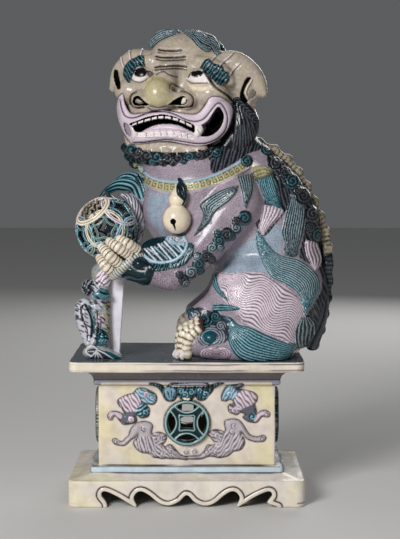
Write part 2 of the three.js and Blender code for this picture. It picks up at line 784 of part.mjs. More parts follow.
// The line that the lips follow round the mouth: half of it, from above the middle round to below.
const LIPS = [
  [0, 39, -23.5],
  [13, 37, -23.5],
  [25, 32, -26],
  [34, 27, -26],
  [41.5, 22.5, -20],
  [46, 20, -11],
  [51, 17, -5],
  [57.5, 10, -5],
  [62, 5, -11],
  [61.5, 4, -21],
  [57, 9, -32],
  [49.5, 14, -42],
  [38, 20, -48],
  [20, 26, -49.5],
  [0, 29, -49],
];

function head(clay) {
  const on = (form) => placed(form, HEAD);
  const pair = (make, blend) => {
    for (const turn of [(p) => p, mirrored]) clay.add(on(make((p) => face(turn(p)))), blend);
  };
  clay
    .add(on(lump(face([0, -12, 0]), [57, 36, 50])), 12)
    .add(on(lump(face([-1, -16, 36]), [36, 32, 29])), 8)
    .add(on(lump(face([0, 2, -26]), [52, 31, 29])), 8)
    .add(on(limb([[0, 16, 26], [0, 29, 12]].map(face), [9, 12])), 6)
    .add(on(lump(face([0, 40, -3]), [14, 13, 15])), 3);
  pair((p) => limb([[14, 36, -6], [24, 30, -7]].map(p), [6, 8.5]), 3);
  pair((p) => lump(p([43, 12, 2]), [17, 16, 13]), 6);
  pair((p) => lump(p([31, 12, 3]), [15, 12, 7]), 4);
  pair((p) => lump(p([31, 14, 17]), [11.5, 10, 9]), 1.5);
  pair((p) => limb([[26, 13, 34], [38, 11, 32], [50, 6, 26], [56, 2, 17]].map(p), [5, 6.5, 7, 5]), 2);

  for (const turn of [(p) => p, mirrored]) {
    clay.cut(on(lump(face(turn([23, 39, -11])), [6.5, 5, 4])), 1.5);
    clay.cut(on(limb([[55, 14, -15], [52, 20, -27], [42, 25, -34]].map(turn).map(face), [6, 8, 6])), 2);
  }
  clay.cut(on(limb([[-42, 27, -36], [-22, 36, -33], [0, 40, -30], [22, 36, -33], [42, 27, -36]].map(face), 7.5)), 2);
  const lips = [...LIPS.slice(1).reverse(), ...LIPS.map(mirrored)].map(face);
  clay.add(on(limb([...lips, lips[0]], 5.2)), 2);
  clay.add(on(limb([[-27, 24, -38], [-12, 29, -34], [0, 30, -33], [12, 29, -34], [27, 24, -38]].map(face), 5)), 1.5);

  // Chin, beard, and the hair at the back of the jaw.
  clay.add(on(limb([[-30, 15, -55], [0, 18, -56], [30, 15, -55]].map(face), 8)), 3);
  for (let n = 0; n < 9; n++) {
    const across = n / 4 - 1;
    clay.add(on(lump(face([50 * across, 16 - 16 * across ** 2, -62 + 6 * across ** 2]), [7, 7, 6])), 1.5);
  }
  clay.add(on(limb([[58, -18, -2], [62, -24, -22], [52, -20, -46]].map(face), [12, 18, 16])), 6);
  clay.add(on(limb([[-56, -20, -4], [-56, -26, -24], [-46, -22, -46]].map(face), [10, 14, 14])), 6);

  // Ears: a folded leaf each, with its hollow facing down and out.
  pair((p) => limb([[34, -8, 34], [56, -14, 36], [74, -20, 24], [82, -24, 10]].map(p), [12, 12, 10, 5]), 3);
  pair((p) => limb([[40, -8, 26], [58, -14, 20], [70, -20, 8]].map(p), [11, 12, 9]), 4);
  for (const turn of [(p) => p, mirrored]) {
    clay.cut(on(limb([[72, -7, 20], [70, -8, 6]].map(turn).map(face), [5, 6])), 1.5);
  }

  // Tufts of hair over the forehead.
  const tufts = [
    [[24, -12, 47], [17, -10, 57], [5, -12, 64]],
    [[30, -22, 47], [22, -24, 58], [6, -26, 66]],
    [[-36, -14, 53], [-28, -14, 60], [-14, -16, 65]],
    [[-30, -26, 54], [-18, -28, 63], [-4, -30, 66]],
    [[33, -34, 44], [20, -40, 55], [0, -40, 60]],
    [[-34, -36, 44], [-20, -40, 55], [-2, -42, 58]],
  ];
  for (const tuft of tufts) clay.add(on(limb(tuft.map(face), [4, 7, 4])), 2);
}

// A lock of hair lying on a side of the body. Its path is given as [x, z], and it narrows towards its ends.
function lock(clay, side, path, width, rise = 3, tip = 0.3) {
  const line = new THREE.CatmullRomCurve3(path.map(([x, z]) => new THREE.Vector3(x, 0, z)));
  const inward = new THREE.Vector3(0, -side, 0);
  const count = Math.max(4, Math.round(line.getLength() / 7));
  const points = [];
  const radii = [];
  for (let n = 0; n <= count; n++) {
    const t = n / count;
    const start = line.getPointAt(t).setY(side * 90);
    const at = clay.skin(start, inward);
    if (!at) continue;
    const half = (width / 2) * (tip + (1 - tip) * Math.sin(Math.PI * Math.min(1, 0.12 + t * 0.88)) ** 0.8);
    const radius = (half * half + rise * rise) / (2 * rise);
    points.push(at.add(clay.outward(at).multiplyScalar(rise - radius)).toArray());
    radii.push(radius);
  }
  return limb(points, radii);
}

const BODY_LOCKS = [
  { path: [[42.7, 169.7], [24.4, 160.1], [13.8, 146.6], [6.1, 121.5]], width: 16 },
  { path: [[55.4, 176.4], [54.4, 161.9], [57.3, 146.4]], width: 13 },
  { path: [[72.8, 183], [75.7, 166.7], [82.4, 154.1], [92.1, 144.5]], width: 20, rise: 4.5 },
  { path: [[85.6, 149.2], [77.8, 136.6], [72, 123.9]], width: 17 },
  { path: [[106, 156.9], [101, 130.7], [99.2, 99.7]], width: 22 },
  { path: [[119, 115.9], [122.9, 99.3], [125, 83.8]], width: 17 },
  { path: [[67.5, 123.7], [75.2, 106.4], [88.7, 92.9], [108.8, 85.2], [120, 72.8], [120, 53.6]], width: 30, rise: 5 },
  { path: [[28, 82], [51, 81], [78, 75], [98, 60], [108, 44]], width: 17 },
  { path: [[38, 66], [58, 65], [80, 56], [94, 41], [104, 27]], width: 15 },
  { path: [[50, 50], [66, 47], [82, 38], [94, 24]], width: 13 },
  { path: [[27.2, 76.6], [31, 58.4], [47.4, 47.8]], width: 10 },
  { path: [[28, 45], [36, 31], [50, 20], [74.8, 15], [98.6, 19]], width: 30, rise: 5 },
  { path: [[117, 43], [114, 28], [108, 14]], width: 18 },
];

// Curls in a row, as [x, z, radius].
const SPINE_CURLS = [
  [75, 201, 8], [86, 190, 8.5], [99, 174, 8.5], [111, 156, 8.5], [119, 138, 8], [124, 118, 7.5],
];
const ARM_CURLS = [
  [52, 136, 6], [37, 121, 6], [24, 109, 5.5], [14, 98, 5.5], [3, 88, 5.5], [-6, 78.5, 5],
];

// The ridge of scallops down the back, and the bundle of the tail against the rump.
const RIDGE = [
  [68, 0, 208], [82, 0, 202], [99, 0, 189], [114, 0, 167], [126, 0, 142], [134.5, 0, 121],
  [138.5, 0, 96], [138.5, 0, 71], [135.5, 0, 46], [130, 0, 21], [124, 0, 6],
];
const SCALLOP_PITCH = 11;

function hair(clay) {
  const forms = [];
  for (const side of [NEAR, FAR]) {
    for (const { path, width, rise } of BODY_LOCKS) forms.push([lock(clay, side, path, width, rise), 1]);
    for (const [x, z, radius] of [...SPINE_CURLS, ...ARM_CURLS]) {
      if (side === FAR && z < 112 && x < 60) continue;
      const at = clay.skin(new THREE.Vector3(x, side * 90, z), new THREE.Vector3(0, -side, 0));
      if (at) forms.push([lump(at.toArray(), [radius, 4.4, radius]), 1]);
    }
  }
  for (const [form, blend] of forms) clay.add(form, blend);
  for (const y of [-16, 16]) {
    clay.add(limb([[122, y, 10], [130, y, 40], [131, y * 0.8, 72], [126, y * 0.6, 100]], [9, 10, 8, 3]), 2);
  }
  clay.add(limb(RIDGE, 5), 3);
  const line = new THREE.CatmullRomCurve3(RIDGE.map((at) => new THREE.Vector3(...at)));
  const count = Math.round(line.getLength() / SCALLOP_PITCH);
  for (let n = 0; n <= count; n++) {
    const at = line.getPointAt(n / count);
    clay.add(lump([at.x + 2, 0, at.z + 1], [6, 5.5, 6]), 1);
  }
}

// The collar round the neck, with its bell shaped like a gourd and the fin of skin over the forearm.
function trimmings(clay) {
  const slant = new THREE.Vector3(-0.114, -0.455, 0.883).normalize();
  const level = slant.dot(new THREE.Vector3(-18, -55, 166.8));
  const band = {
    low: [-60, -70, 120],
    high: [90, 60, 215],
    at: (x, y, z) => Math.abs(slant.x * x + slant.y * y + slant.z * z - level) - 5.5,
  };
  clay.press(band, 0, (value, off) => Math.min(value, Math.max(value - 2.4, off)));
  clay
    .add(limb([[-6, -52, 168], [-9, -56, 155]], [4, 8.5]), 2)
    .add(lump([-9.5, -56, 136], [13.5, 11.5, 14]), 1.5)
    .add(lump([-22, -47, 104], [23, 11, 13]), 3)
    .add(limb([[-43, -54, 112], [-36, -58, 101], [-20, -60, 97], [-7, -58, 103], [-2, -54, 115]], 2.6), 1);
}

// The prop under the ball, and the cub that stands against it.
function propAndCub(clay) {
  clay
    .add(block([-75.5, -41, -5], [-64.5, -28, 94], 1), 1)
    .add(limb([[-76, -41, 12], [-80, -42, 40], [-80, -42, 68], [-80, -42, 90]], [11, 12, 12, 9]), 2)
    .add(lump([-84, -34, 82], [11, 12, 11]), 3)
    .add(lump([-97, -42, 68], [9, 8, 9]), 1.5)
    .add(limb([[-98, -45, 50], [-95.5, -46, 34], [-90, -47, 15]], [10.5, 12.5, 7]), 1.5)
    .add(limb([[-94, -49, 5], [-78, -50, 6], [-62, -50, 3]], [5.5, 6, 3.5]), 1.5)
    .add(lump([-82, -50, 15], [7.5, 6, 8]), 1.5);
}

function lion() {
  const clay = new Clay([-120, -82, -10], [160, 82, 335], CELL);
  torso(clay);
  hindLegs(clay);
  nearForeleg(clay);
  farForeleg(clay);
  head(clay);
  hair(clay);
  trimmings(clay);
  propAndCub(clay);
  clay.cut(block([-130, -90, -40], [170, 90, -6], 0), 0.5);
  const skin = new Thinner(clay.triangles()).thin(LION_TRIANGLES).geometry();
  const room = solidOf(new THREE.IcosahedronGeometry(BALL_RADIUS + 1.4, 4)).translate(...BALL_CENTRE);
  return solidOf(skin)
    .subtract(room)
    .subtract(box([-200, -200, -50], [200, 200, GAP]))
    .decompose()
    .reduce((largest, piece) => (piece.volume() > largest.volume() ? piece : largest));
}

const plinthSolid = plinth();
const lionSolid = lion().translate(0, 0, PLINTH_HEIGHT);
const ballSolid = openworkBall().translate(0, 0, PLINTH_HEIGHT);

// The frame's origin is below the middle of everything together.
const whole = new THREE.Box3();
for (const solid of [plinthSolid, lionSolid, ballSolid]) {
  const { min, max } = solid.boundingBox();
  whole.expandByPoint(new THREE.Vector3(...min)).expandByPoint(new THREE.Vector3(...max));
}
const middle = whole.getCenter(new THREE.Vector3());
const shift = [-middle.x, -middle.y, -whole.min.z];

const group = new THREE.Group();
group.add(
  meshOf("plinth", plinthSolid.translate(shift), glazed(GLAZE.cream)),
  meshOf("lion", lionSolid.translate(shift), glazed(GLAZE.aubergine)),
  meshOf("openwork_ball", ballSolid.translate(shift), glazed(GLAZE.teal)),
);
export default group;
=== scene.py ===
# The porcelain lion on its plinth, with the glazes, hair and relief that the solids leave out. Work is in
# millimetres from the middle of the plinth's top, and is set into the frame in metres at the end.

import math

import bpy
import numpy as np
from mathutils import Matrix, Vector


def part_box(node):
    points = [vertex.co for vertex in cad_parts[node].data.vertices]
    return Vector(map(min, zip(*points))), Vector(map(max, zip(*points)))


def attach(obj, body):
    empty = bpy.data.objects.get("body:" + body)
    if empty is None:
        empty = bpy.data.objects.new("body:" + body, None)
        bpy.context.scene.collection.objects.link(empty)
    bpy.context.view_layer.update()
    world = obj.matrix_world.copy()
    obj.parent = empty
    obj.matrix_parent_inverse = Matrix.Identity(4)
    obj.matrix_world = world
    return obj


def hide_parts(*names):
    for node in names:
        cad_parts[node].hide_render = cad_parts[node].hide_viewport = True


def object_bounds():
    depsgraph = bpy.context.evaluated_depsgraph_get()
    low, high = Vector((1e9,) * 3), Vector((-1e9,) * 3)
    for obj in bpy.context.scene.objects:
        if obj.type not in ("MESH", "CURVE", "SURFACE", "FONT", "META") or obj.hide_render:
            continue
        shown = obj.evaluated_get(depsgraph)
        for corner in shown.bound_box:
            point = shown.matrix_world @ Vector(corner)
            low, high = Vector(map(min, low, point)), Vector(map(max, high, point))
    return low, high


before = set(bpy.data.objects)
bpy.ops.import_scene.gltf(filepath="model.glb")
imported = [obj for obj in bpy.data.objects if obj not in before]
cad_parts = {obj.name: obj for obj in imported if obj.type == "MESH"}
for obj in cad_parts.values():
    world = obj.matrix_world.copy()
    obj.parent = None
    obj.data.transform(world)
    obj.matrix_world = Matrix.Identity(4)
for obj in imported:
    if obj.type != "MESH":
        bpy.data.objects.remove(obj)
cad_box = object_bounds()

# Sizes of the cells in which the clays are worked
BODY_CELL = 0.68
HEAD_CELL = 0.65
FRONT_CELL = 0.55
BALL_CELL = 0.55
PLINTH_CELL = 1.28 * BODY_CELL

# The plinth: its die is the box between its mouldings
PLINTH_HEIGHT = 141.0
DIE_HALVES = (86.5, 48.5)
FOOT_REACH = 28.0
WALL = 6.0
COIN_HEIGHT = 78.0
COIN_RADII = (22.4, 28.5)

BALL_RADIUS = 31.0
BALL_CENTRE = (-79.0, -28.0, 126.0)
HEAD_CENTRE = (-11.0, -15.0, 255.0)
HEAD_YAW, HEAD_PITCH, HEAD_ROLL = -24.0, -5.0, 3.0
NEAR, FAR = -1, 1

# Where the photograph was taken from, how far down the camera looks in degrees, and how long its lens is
EYE = (12.8, -1439.0, 189.0)
EYE_TILT = 4.2
FOCAL_PIXELS = 1436.0
PHOTO_WIDTH = 400

plinth_low, plinth_high = (np.array(corner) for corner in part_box("plinth"))
SHIFT = np.append((plinth_low + plinth_high)[:2] * 500.0, PLINTH_HEIGHT)


# Glazes, each as its flat colour, its colour on ridges and its colour in grooves

GLAZES = {
    "skin": ((170, 156, 168), (198, 186, 194), (84, 68, 84)),
    "blue": ((164, 178, 194), (190, 202, 212), (64, 70, 88)),
    "teal": ((10, 78, 92), (158, 208, 220), (0, 12, 20)),
    # Foam: a paler teal for the long S-shaped lock, partly its own white lines and partly a painted
    # highlight
    "foam": ((40, 106, 120), (214, 234, 240), (0, 20, 30)),
    "deep": ((2, 32, 40), (76, 124, 136), (1, 7, 11)),
    "lilac": ((204, 184, 198), (232, 218, 226), (44, 26, 42)),
    "smoke": ((58, 62, 74), (166, 172, 184), (10, 12, 18)),
    "cream": ((226, 212, 188), (240, 230, 210), (80, 54, 44)),
    "face": ((174, 162, 146), (206, 196, 180), (36, 27, 26)),
    "nose": ((176, 166, 126), (196, 188, 150), (62, 52, 34)),
    "lip": ((216, 200, 212), (234, 222, 230), (46, 30, 44)),
    # Dark: painted shade in hollows, laid in the mouth, nostrils, ears and the bell's slit, and made less
    # glossy there
    "dark": ((10, 9, 11), (20, 18, 20), (4, 4, 5)),
    "tooth": ((232, 224, 222), (246, 242, 240), (80, 60, 70)),
    "pearl": ((182, 182, 192), (226, 228, 232), (52, 52, 66)),
    "collar": ((158, 150, 110), (200, 194, 156), (58, 50, 36)),
    "sky": ((138, 176, 196), (186, 212, 224), (50, 80, 100)),
    "cub": ((134, 146, 148), (200, 206, 206), (36, 36, 46)),
    "prop": ((226, 222, 232), (232, 228, 236), (120, 100, 110)),
    "horn": ((122, 111, 92), (172, 162, 138), (26, 22, 20)),
    # Near black: dark hair, and also painted shade over the back, among the shoulder's locks, on the neck
    # and beside the jaw
    "soot": ((16, 16, 22), (92, 98, 108), (5, 5, 8)),
    "black": ((6, 5, 6), (20, 18, 20), (3, 3, 3)),
    "yellow": ((226, 214, 202), (232, 220, 176), (58, 42, 40)),
    "blush": ((228, 216, 204), (232, 222, 198), (58, 40, 40)),
    "bone": ((230, 220, 210), (234, 224, 192), (52, 40, 40)),
    "grey": ((122, 116, 116), (150, 144, 144), (46, 40, 42)),
    "mist": ((162, 162, 178), (200, 202, 214), (50, 44, 52)),
    # Wash: the grey-green of the slab's top, darker in part as painted shadow
    "wash": ((72, 86, 94), (150, 160, 166), (24, 30, 38)),
    "ice": ((200, 218, 228), (222, 234, 240), (52, 50, 58)),
    "dove": ((184, 174, 182), (216, 208, 212), (40, 30, 38)),
    "slate": ((14, 44, 58), (180, 202, 208), (1, 4, 8)),
    "jade": ((66, 120, 124), (190, 212, 206), (2, 34, 42)),
    "biscuit": ((132, 124, 112), (160, 150, 138), (80, 70, 60)),
}
KINDS = list(GLAZES)


def linear(colour):
    c = np.array(colour, float) / 255
    return np.where(c <= 0.04045, c / 12.92, ((c + 0.055) / 1.055) ** 2.4)


def unit(vector):
    return vector / np.linalg.norm(vector)


# Where a 4 by 4 matrix takes a place.
def moved(m, x, y, z):
    return [m[i, 0] * x + m[i, 1] * y + m[i, 2] * z + m[i, 3] for i in range(3)]


# Forms

# A signed distance: at says how far outside a place is, low and high are the corners of the box that holds
# the form, and line says how much a place on it shows as a ridge (up to 1) or a groove (down to -1).
class Form:
    def __init__(self, low, high, at, line=None):
        self.low, self.high = np.array(low, float), np.array(high, float)
        self.at, self.line = at, line


def lump(centre, radii):
    c, r = np.array(centre, float), np.array(radii, float)

    def at(x, y, z):
        u, v, w = (x - c[0]) / r[0], (y - c[1]) / r[1], (z - c[2]) / r[2]
        far = np.sqrt(u * u + v * v + w * w)
        steep = np.sqrt((u / r[0]) ** 2 + (v / r[1]) ** 2 + (w / r[2]) ** 2) + 1e-9
        return far * (far - 1) / steep

    return Form(c - r, c + r, at)


# A smooth line through the points, in steps of about this length.
def spline(points, step):
    p = np.array(points, float)
    ends = np.concatenate([[2 * p[0] - p[1]], p, [2 * p[-1] - p[-2]]])
    out = []
    for n in range(len(p) - 1):
        a, b, c, d = ends[n:n + 4]
        count = max(2, int(np.linalg.norm(c - b) / step) + 1)
        for t in np.arange(count) / count:
            bend = (2 * a - 5 * b + 4 * c - d) * t**2 + (3 * b - a - 3 * c + d) * t**3
            out.append(0.5 * (2 * b + (c - a) * t + bend))
    return np.array(out + [p[-1]])


# A limb of straight stretches, each with a radius at each of its ends.
def limb(points, radii):
    p = np.array(points, float)
    r = np.broadcast_to(np.array(radii, float), (len(p),)).copy()

    def at(x, y, z):
        nearest = None
        for a, b, ra, rb in zip(p[:-1], p[1:], r[:-1], r[1:]):
            u = b - a
            px, py, pz = x - a[0], y - a[1], z - a[2]
            t = np.clip((px * u[0] + py * u[1] + pz * u[2]) / (u @ u + 1e-9), 0, 1)
            away = np.sqrt((px - t * u[0]) ** 2 + (py - t * u[1]) ** 2 + (pz - t * u[2]) ** 2)
            off = away - ra - t * (rb - ra)
            nearest = off if nearest is None else np.minimum(nearest, off)
        return nearest

    return Form((p - r[:, None]).min(0), (p + r[:, None]).max(0), at)


# The radii at the points of a line, spread from the few that are given along it.
def spread(radii, line):
    return np.interp(np.linspace(0, len(radii) - 1, len(line)), range(len(radii)), radii)


# A limb on a smooth curve through the points.
def tube(points, radii):
    line = spline(points, 3.0)
    return limb(line, spread(radii, line))


STRAND_PITCH = 3.4


# A tube with a few grooves along it, winding a little, for a lock of hair that stands free.
def strand(points, radii):
    smooth = tube(points, radii)
    axis = np.array(points[-1], float) - points[0]
    side = unit(np.cross(axis, (0, 0, 1) if abs(axis[2]) < abs(axis[0]) else (1, 0, 0)))
    over = np.cross(axis, side) / np.linalg.norm(axis)

    def crest(x, y, z):
        across = x * side[0] + y * side[1] + z * side[2]
        above = x * over[0] + y * over[1] + z * over[2]
        return abs(np.cos((across + above) * math.pi / STRAND_PITCH))

    def at(x, y, z):
        return smooth.at(x, y, z) + 0.6 * (1 - crest(x, y, z))

    def line(x, y, z):
        return 3 * crest(x, y, z) - 1.9

    return Form(smooth.low, smooth.high, at, line)


# How far along a line each of its points is.
def lengths(line):
    return np.concatenate([[0], np.cumsum(np.linalg.norm(np.diff(line, axis=0), axis=1))])


# A tube with rings round it, close along its length, as on a claw.
def ringed(points, radii, pitch):
    line = spline(points, pitch / 4)
    swell = abs(np.sin(lengths(line) / pitch * math.pi))
    smooth = limb(line, spread(radii, line) * (0.86 + 0.2 * swell))

    def shade(x, y, z):
        away = np.stack([(x - a) ** 2 + (y - b) ** 2 + (z - c) ** 2 for a, b, c in line])
        return 2.2 * swell[away.argmin(0)] - 1.2

    return Form(smooth.low, smooth.high, smooth.at, shade)


BUNDLE_STRANDS = 8


# Strands of hair twisted together along a path, each with a pale crest and dark where two of them meet.
# The first of them starts this far round, and they twist this far, in radians.
def bundle(points, radii, start, twist=1.5):
    line = spline(points, 3.0)
    radius = spread(radii, line)
    share = np.linspace(0, 1, len(line))
    ahead = np.gradient(line, axis=0)
    ahead /= np.linalg.norm(ahead, axis=1)[:, None]
    side = np.cross(ahead, (0.3, 1, 0))
    side /= np.linalg.norm(side, axis=1)[:, None]
    over = np.cross(ahead, side)
    tubes = []
    for n in range(BUNDLE_STRANDS):
        angle = (2 * math.pi * n / BUNDLE_STRANDS + start + twist * share)[:, None]
        off = (np.cos(angle) * side + np.sin(angle) * over) * 0.66 * radius[:, None]
        tubes.append(limb(line + off, 0.38 * radius))

    def at(x, y, z):
        return np.minimum.reduce([one.at(x, y, z) for one in tubes])

    def shade(x, y, z):
        nearest = np.sort([one.at(x, y, z) for one in tubes], axis=0)
        return np.clip(1.3 * (nearest[1] - nearest[0]) - 1.4, -1, 0.8)

    low, high = np.min([one.low for one in tubes], 0), np.max([one.high for one in tubes], 0)
    return Form(low, high, at, shade)


# A box with soft edges.
def block(low, high, soft):
    low, high = np.array(low, float), np.array(high, float)
    middle, half = (low + high) / 2, (high - low) / 2 - soft

    def at(x, y, z):
        q = [abs(v - m) - h for v, m, h in zip((x, y, z), middle, half)]
        outside = np.sqrt(sum(np.maximum(v, 0) ** 2 for v in q))
        return outside + np.minimum(np.maximum(np.maximum(q[0], q[1]), q[2]), 0) - soft

    return Form(low, high, at)


def placed(form, matrix):
    m = np.array(matrix)
    inverse = np.linalg.inv(m)
    spans = list(zip(form.low, form.high))
    corners = np.array([moved(m, x, y, z) for x in spans[0] for y in spans[1] for z in spans[2]])

    def at(x, y, z):
        return form.at(*moved(inverse, x, y, z))

    def line(x, y, z):
        return form.line(*moved(inverse, x, y, z))

    return Form(corners.min(0), corners.max(0), at, line if form.line else None)


# A block of clay: how far outside it the corners of a grid of cells are. Forms are added to it and cut out
# of it, and its skin is read off the grid at the end.
class Clay:
    def __init__(self, low, high, cell):
        self.low, self.cell = np.array(low, float), cell
        self.count = [int(math.ceil((h - l) / cell)) + 1 for l, h in zip(low, high)]
        self.values = np.full(self.count, 99, np.float32)
        self.axes = [(l + cell * np.arange(n)).astype(np.float32) for l, n in zip(low, self.count)]
        self.coats = []

    # Changes the clay where a form reaches, from what it was and how far outside the form each place is.
    def press(self, form, margin, change):
        first = np.maximum(0, np.floor((form.low - margin - self.low) / self.cell)).astype(int)
        last = np.minimum(self.count, np.ceil((form.high + margin - self.low) / self.cell).astype(int) + 1)
        if (last <= first).any():
            return self
        window = tuple(slice(a, b) for a, b in zip(first, last))
        x, y, z = (axis[part] for axis, part in zip(self.axes, window))
        off = form.at(x[:, None, None], y[None, :, None], z[None, None, :]).astype(np.float32)
        self.values[window] = change(self.values[window], off)
        return self

    def add(self, form, blend=3.0, glaze=None, reach=0.5):
        def change(a, b):
            h = np.maximum(blend - abs(a - b), 0) / blend
            return np.minimum(a, b) - h * h * blend / 4

        self.coat(form, glaze, reach)
        return self.press(form, blend + 4 * self.cell, change)

    def cut(self, form, blend=1.5, glaze=None, reach=0.7):
        def change(a, b):
            h = np.maximum(blend - abs(a + b), 0) / blend
            return np.maximum(a, -b) + h * h * blend / 4

        self.coat(form, glaze, reach)
        return self.press(form, blend + self.cell, change)

    # Each coat gives a glaze to the places that its test picks out, over the coats before it. A test takes
    # the points and their ways out, and gives whether each is in it, its glaze, its line and its stipple.
    # This one picks the places that are in a form or no further than reach from it.
    def coat(self, form, glaze, reach):
        def test(points, normals):
            near = ((points > form.low - 2) & (points < form.high + 2)).all(1)
            near[near] = form.at(*points[near].T) < reach
            line = np.zeros(len(points))
            if form.line:
                line[near] = form.line(*points[near].T)
            return near, KINDS.index(glaze), line, float(glaze == "skin")

        if glaze is not None:
            self.coats.append(test)

    # Lays a sheet's heights on the clay inside a box. place gives where on the sheet a point is, and how
    # much of the height it takes.
    def emboss(self, sheet, low, high, place):
        def at(x, y, z):
            u, v, share = place(x, y, z)
            return sheet.read(sheet.height, u, v) * share

        def test(points, normals):
            u, v, share = place(*points.T)
            kind = np.where((share > 0.5) & (points > low).all(1) & (points < high).all(1),
                            sheet.kinds(u, v), -1)
            return kind >= 0, kind, sheet.read(sheet.line, u, v), sheet.read(sheet.dots, u, v)

        self.coats.append(test)
        return self.press(Form(low, high, at), 0, lambda value, rise: value - rise)

    # The skin: one vertex in each cell that the surface passes through, and a quad round each edge it
    # crosses.
    def skin(self):
        inside = self.values < 0
        n = np.array(self.count)
        corners = [(i, j, k) for i in (0, 1) for j in (0, 1) for k in (0, 1)]
        within = np.zeros(n - 1, np.uint8)
        for i, j, k in corners:
            within += inside[i:n[0] - 1 + i, j:n[1] - 1 + j, k:n[2] - 1 + k]
        cells = np.argwhere((within > 0) & (within < 8))
        index = np.full(n - 1, -1, np.int32)
        index[tuple(cells.T)] = np.arange(len(cells))
        values = {c: self.values[tuple((cells + c).T)] for c in corners}
        total, crossings = np.zeros((len(cells), 3)), np.zeros(len(cells))
        for a in corners:
            for axis in range(3):
                if a[axis]:
                    continue
                b = tuple(v + (i == axis) for i, v in enumerate(a))
                va, vb = values[a], values[b]
                hit = (va < 0) != (vb < 0)
                t = va[hit] / (va[hit] - vb[hit])
                place = np.tile(np.array(a, float), (hit.sum(), 1))
                place[:, axis] += t
                total[hit] += place
                crossings[hit] += 1
        points = self.low + self.cell * (cells + total / crossings[:, None])
        quads = []
        for axis in range(3):
            lower = [slice(None)] * 3
            upper = [slice(None)] * 3
            lower[axis], upper[axis] = slice(0, -1), slice(1, None)
            a = inside[tuple(lower)]
            change = a != inside[tuple(upper)]
            at = np.argwhere(change)
            b, c = (axis + 1) % 3, (axis + 2) % 3
            at = at[(at[:, b] > 0) & (at[:, c] > 0) & (at[:, b] < n[b] - 1) & (at[:, c] < n[c] - 1)]
            out = a[tuple(at.T)]
            round_it = []
            for db, dc in ((-1, -1), (0, -1), (0, 0), (-1, 0)):
                cell = at.copy()
                cell[:, b] += db
                cell[:, c] += dc
                round_it.append(index[tuple(cell.T)])
            quad = np.stack(round_it, 1)
            quad[~out] = quad[~out][:, ::-1]
            quads.append(quad)
        return points, np.concatenate(quads)


# Each point's way out.
def normals_of(points, quads):
    a = points[quads[:, 2]] - points[quads[:, 0]]
    b = points[quads[:, 3]] - points[quads[:, 1]]
    face = np.cross(a, b)
    total = np.stack(
        [sum(np.bincount(quads[:, c], face[:, i], len(points)) for c in range(4)) for i in range(3)], 1
    )
    return total / (np.linalg.norm(total, axis=1)[:, None] + 1e-12)


# Each point's value as the mean of its neighbours'.
def smoothed(values, quads):
    ends = np.concatenate([quads[:, [0, 1]], quads[:, [1, 2]], quads[:, [2, 3]], quads[:, [3, 0]]])
    one, other = ends.T
    n = len(values)
    degree = np.bincount(one, minlength=n) + np.bincount(other, minlength=n)
    flat = values.reshape(n, -1).astype(float)
    total = np.stack([np.bincount(one, v[other], n) + np.bincount(other, v[one], n) for v in flat.T], 1)
    return (total / np.maximum(degree, 1)[:, None]).reshape(values.shape)


# Flat drawings

# Strands side by side, as how high each place is on its strand, from 0 to 1, by how far across it is in
# radians.
def strands_of(across):
    return abs(np.cos(across)) ** 0.8


# The line of such strands: dark where two meet and pale along the crests.
def strand_line(strand, least=-1.0):
    return np.clip(3.2 * strand - 1.9, least, 0) + np.clip((strand - 0.87) / 0.1, 0, 1)


# How high a relief stands, from 0 to 1, that rises in a round from its outline to this far inside.
def rounded(depth, edge):
    return 1 - (1 - np.clip(depth / edge, 0, 1)) ** 2


# How far each place is from a line.
def distance(line, u, v):
    nearest = np.full(np.broadcast(u, v).shape, 1e9)
    for (a0, a1), (b0, b1) in zip(line[:-1], line[1:]):
        d0, d1 = b0 - a0, b1 - a1
        t = np.clip(((u - a0) * d0 + (v - a1) * d1) / (d0 * d0 + d1 * d1 + 1e-12), 0, 1)
        nearest = np.minimum(nearest, np.hypot(u - a0 - t * d0, v - a1 - t * d1))
    return nearest


# Points round an oval, once round from its right unless the angles are given.
def oval(centre, wide, tall, angles=np.arange(12) * math.pi / 6):
    return [(centre[0] + wide * math.cos(t), centre[1] + tall * math.sin(t)) for t in angles]


def shifted(path, right, up):
    return [(u + right, v + up) for u, v in path]


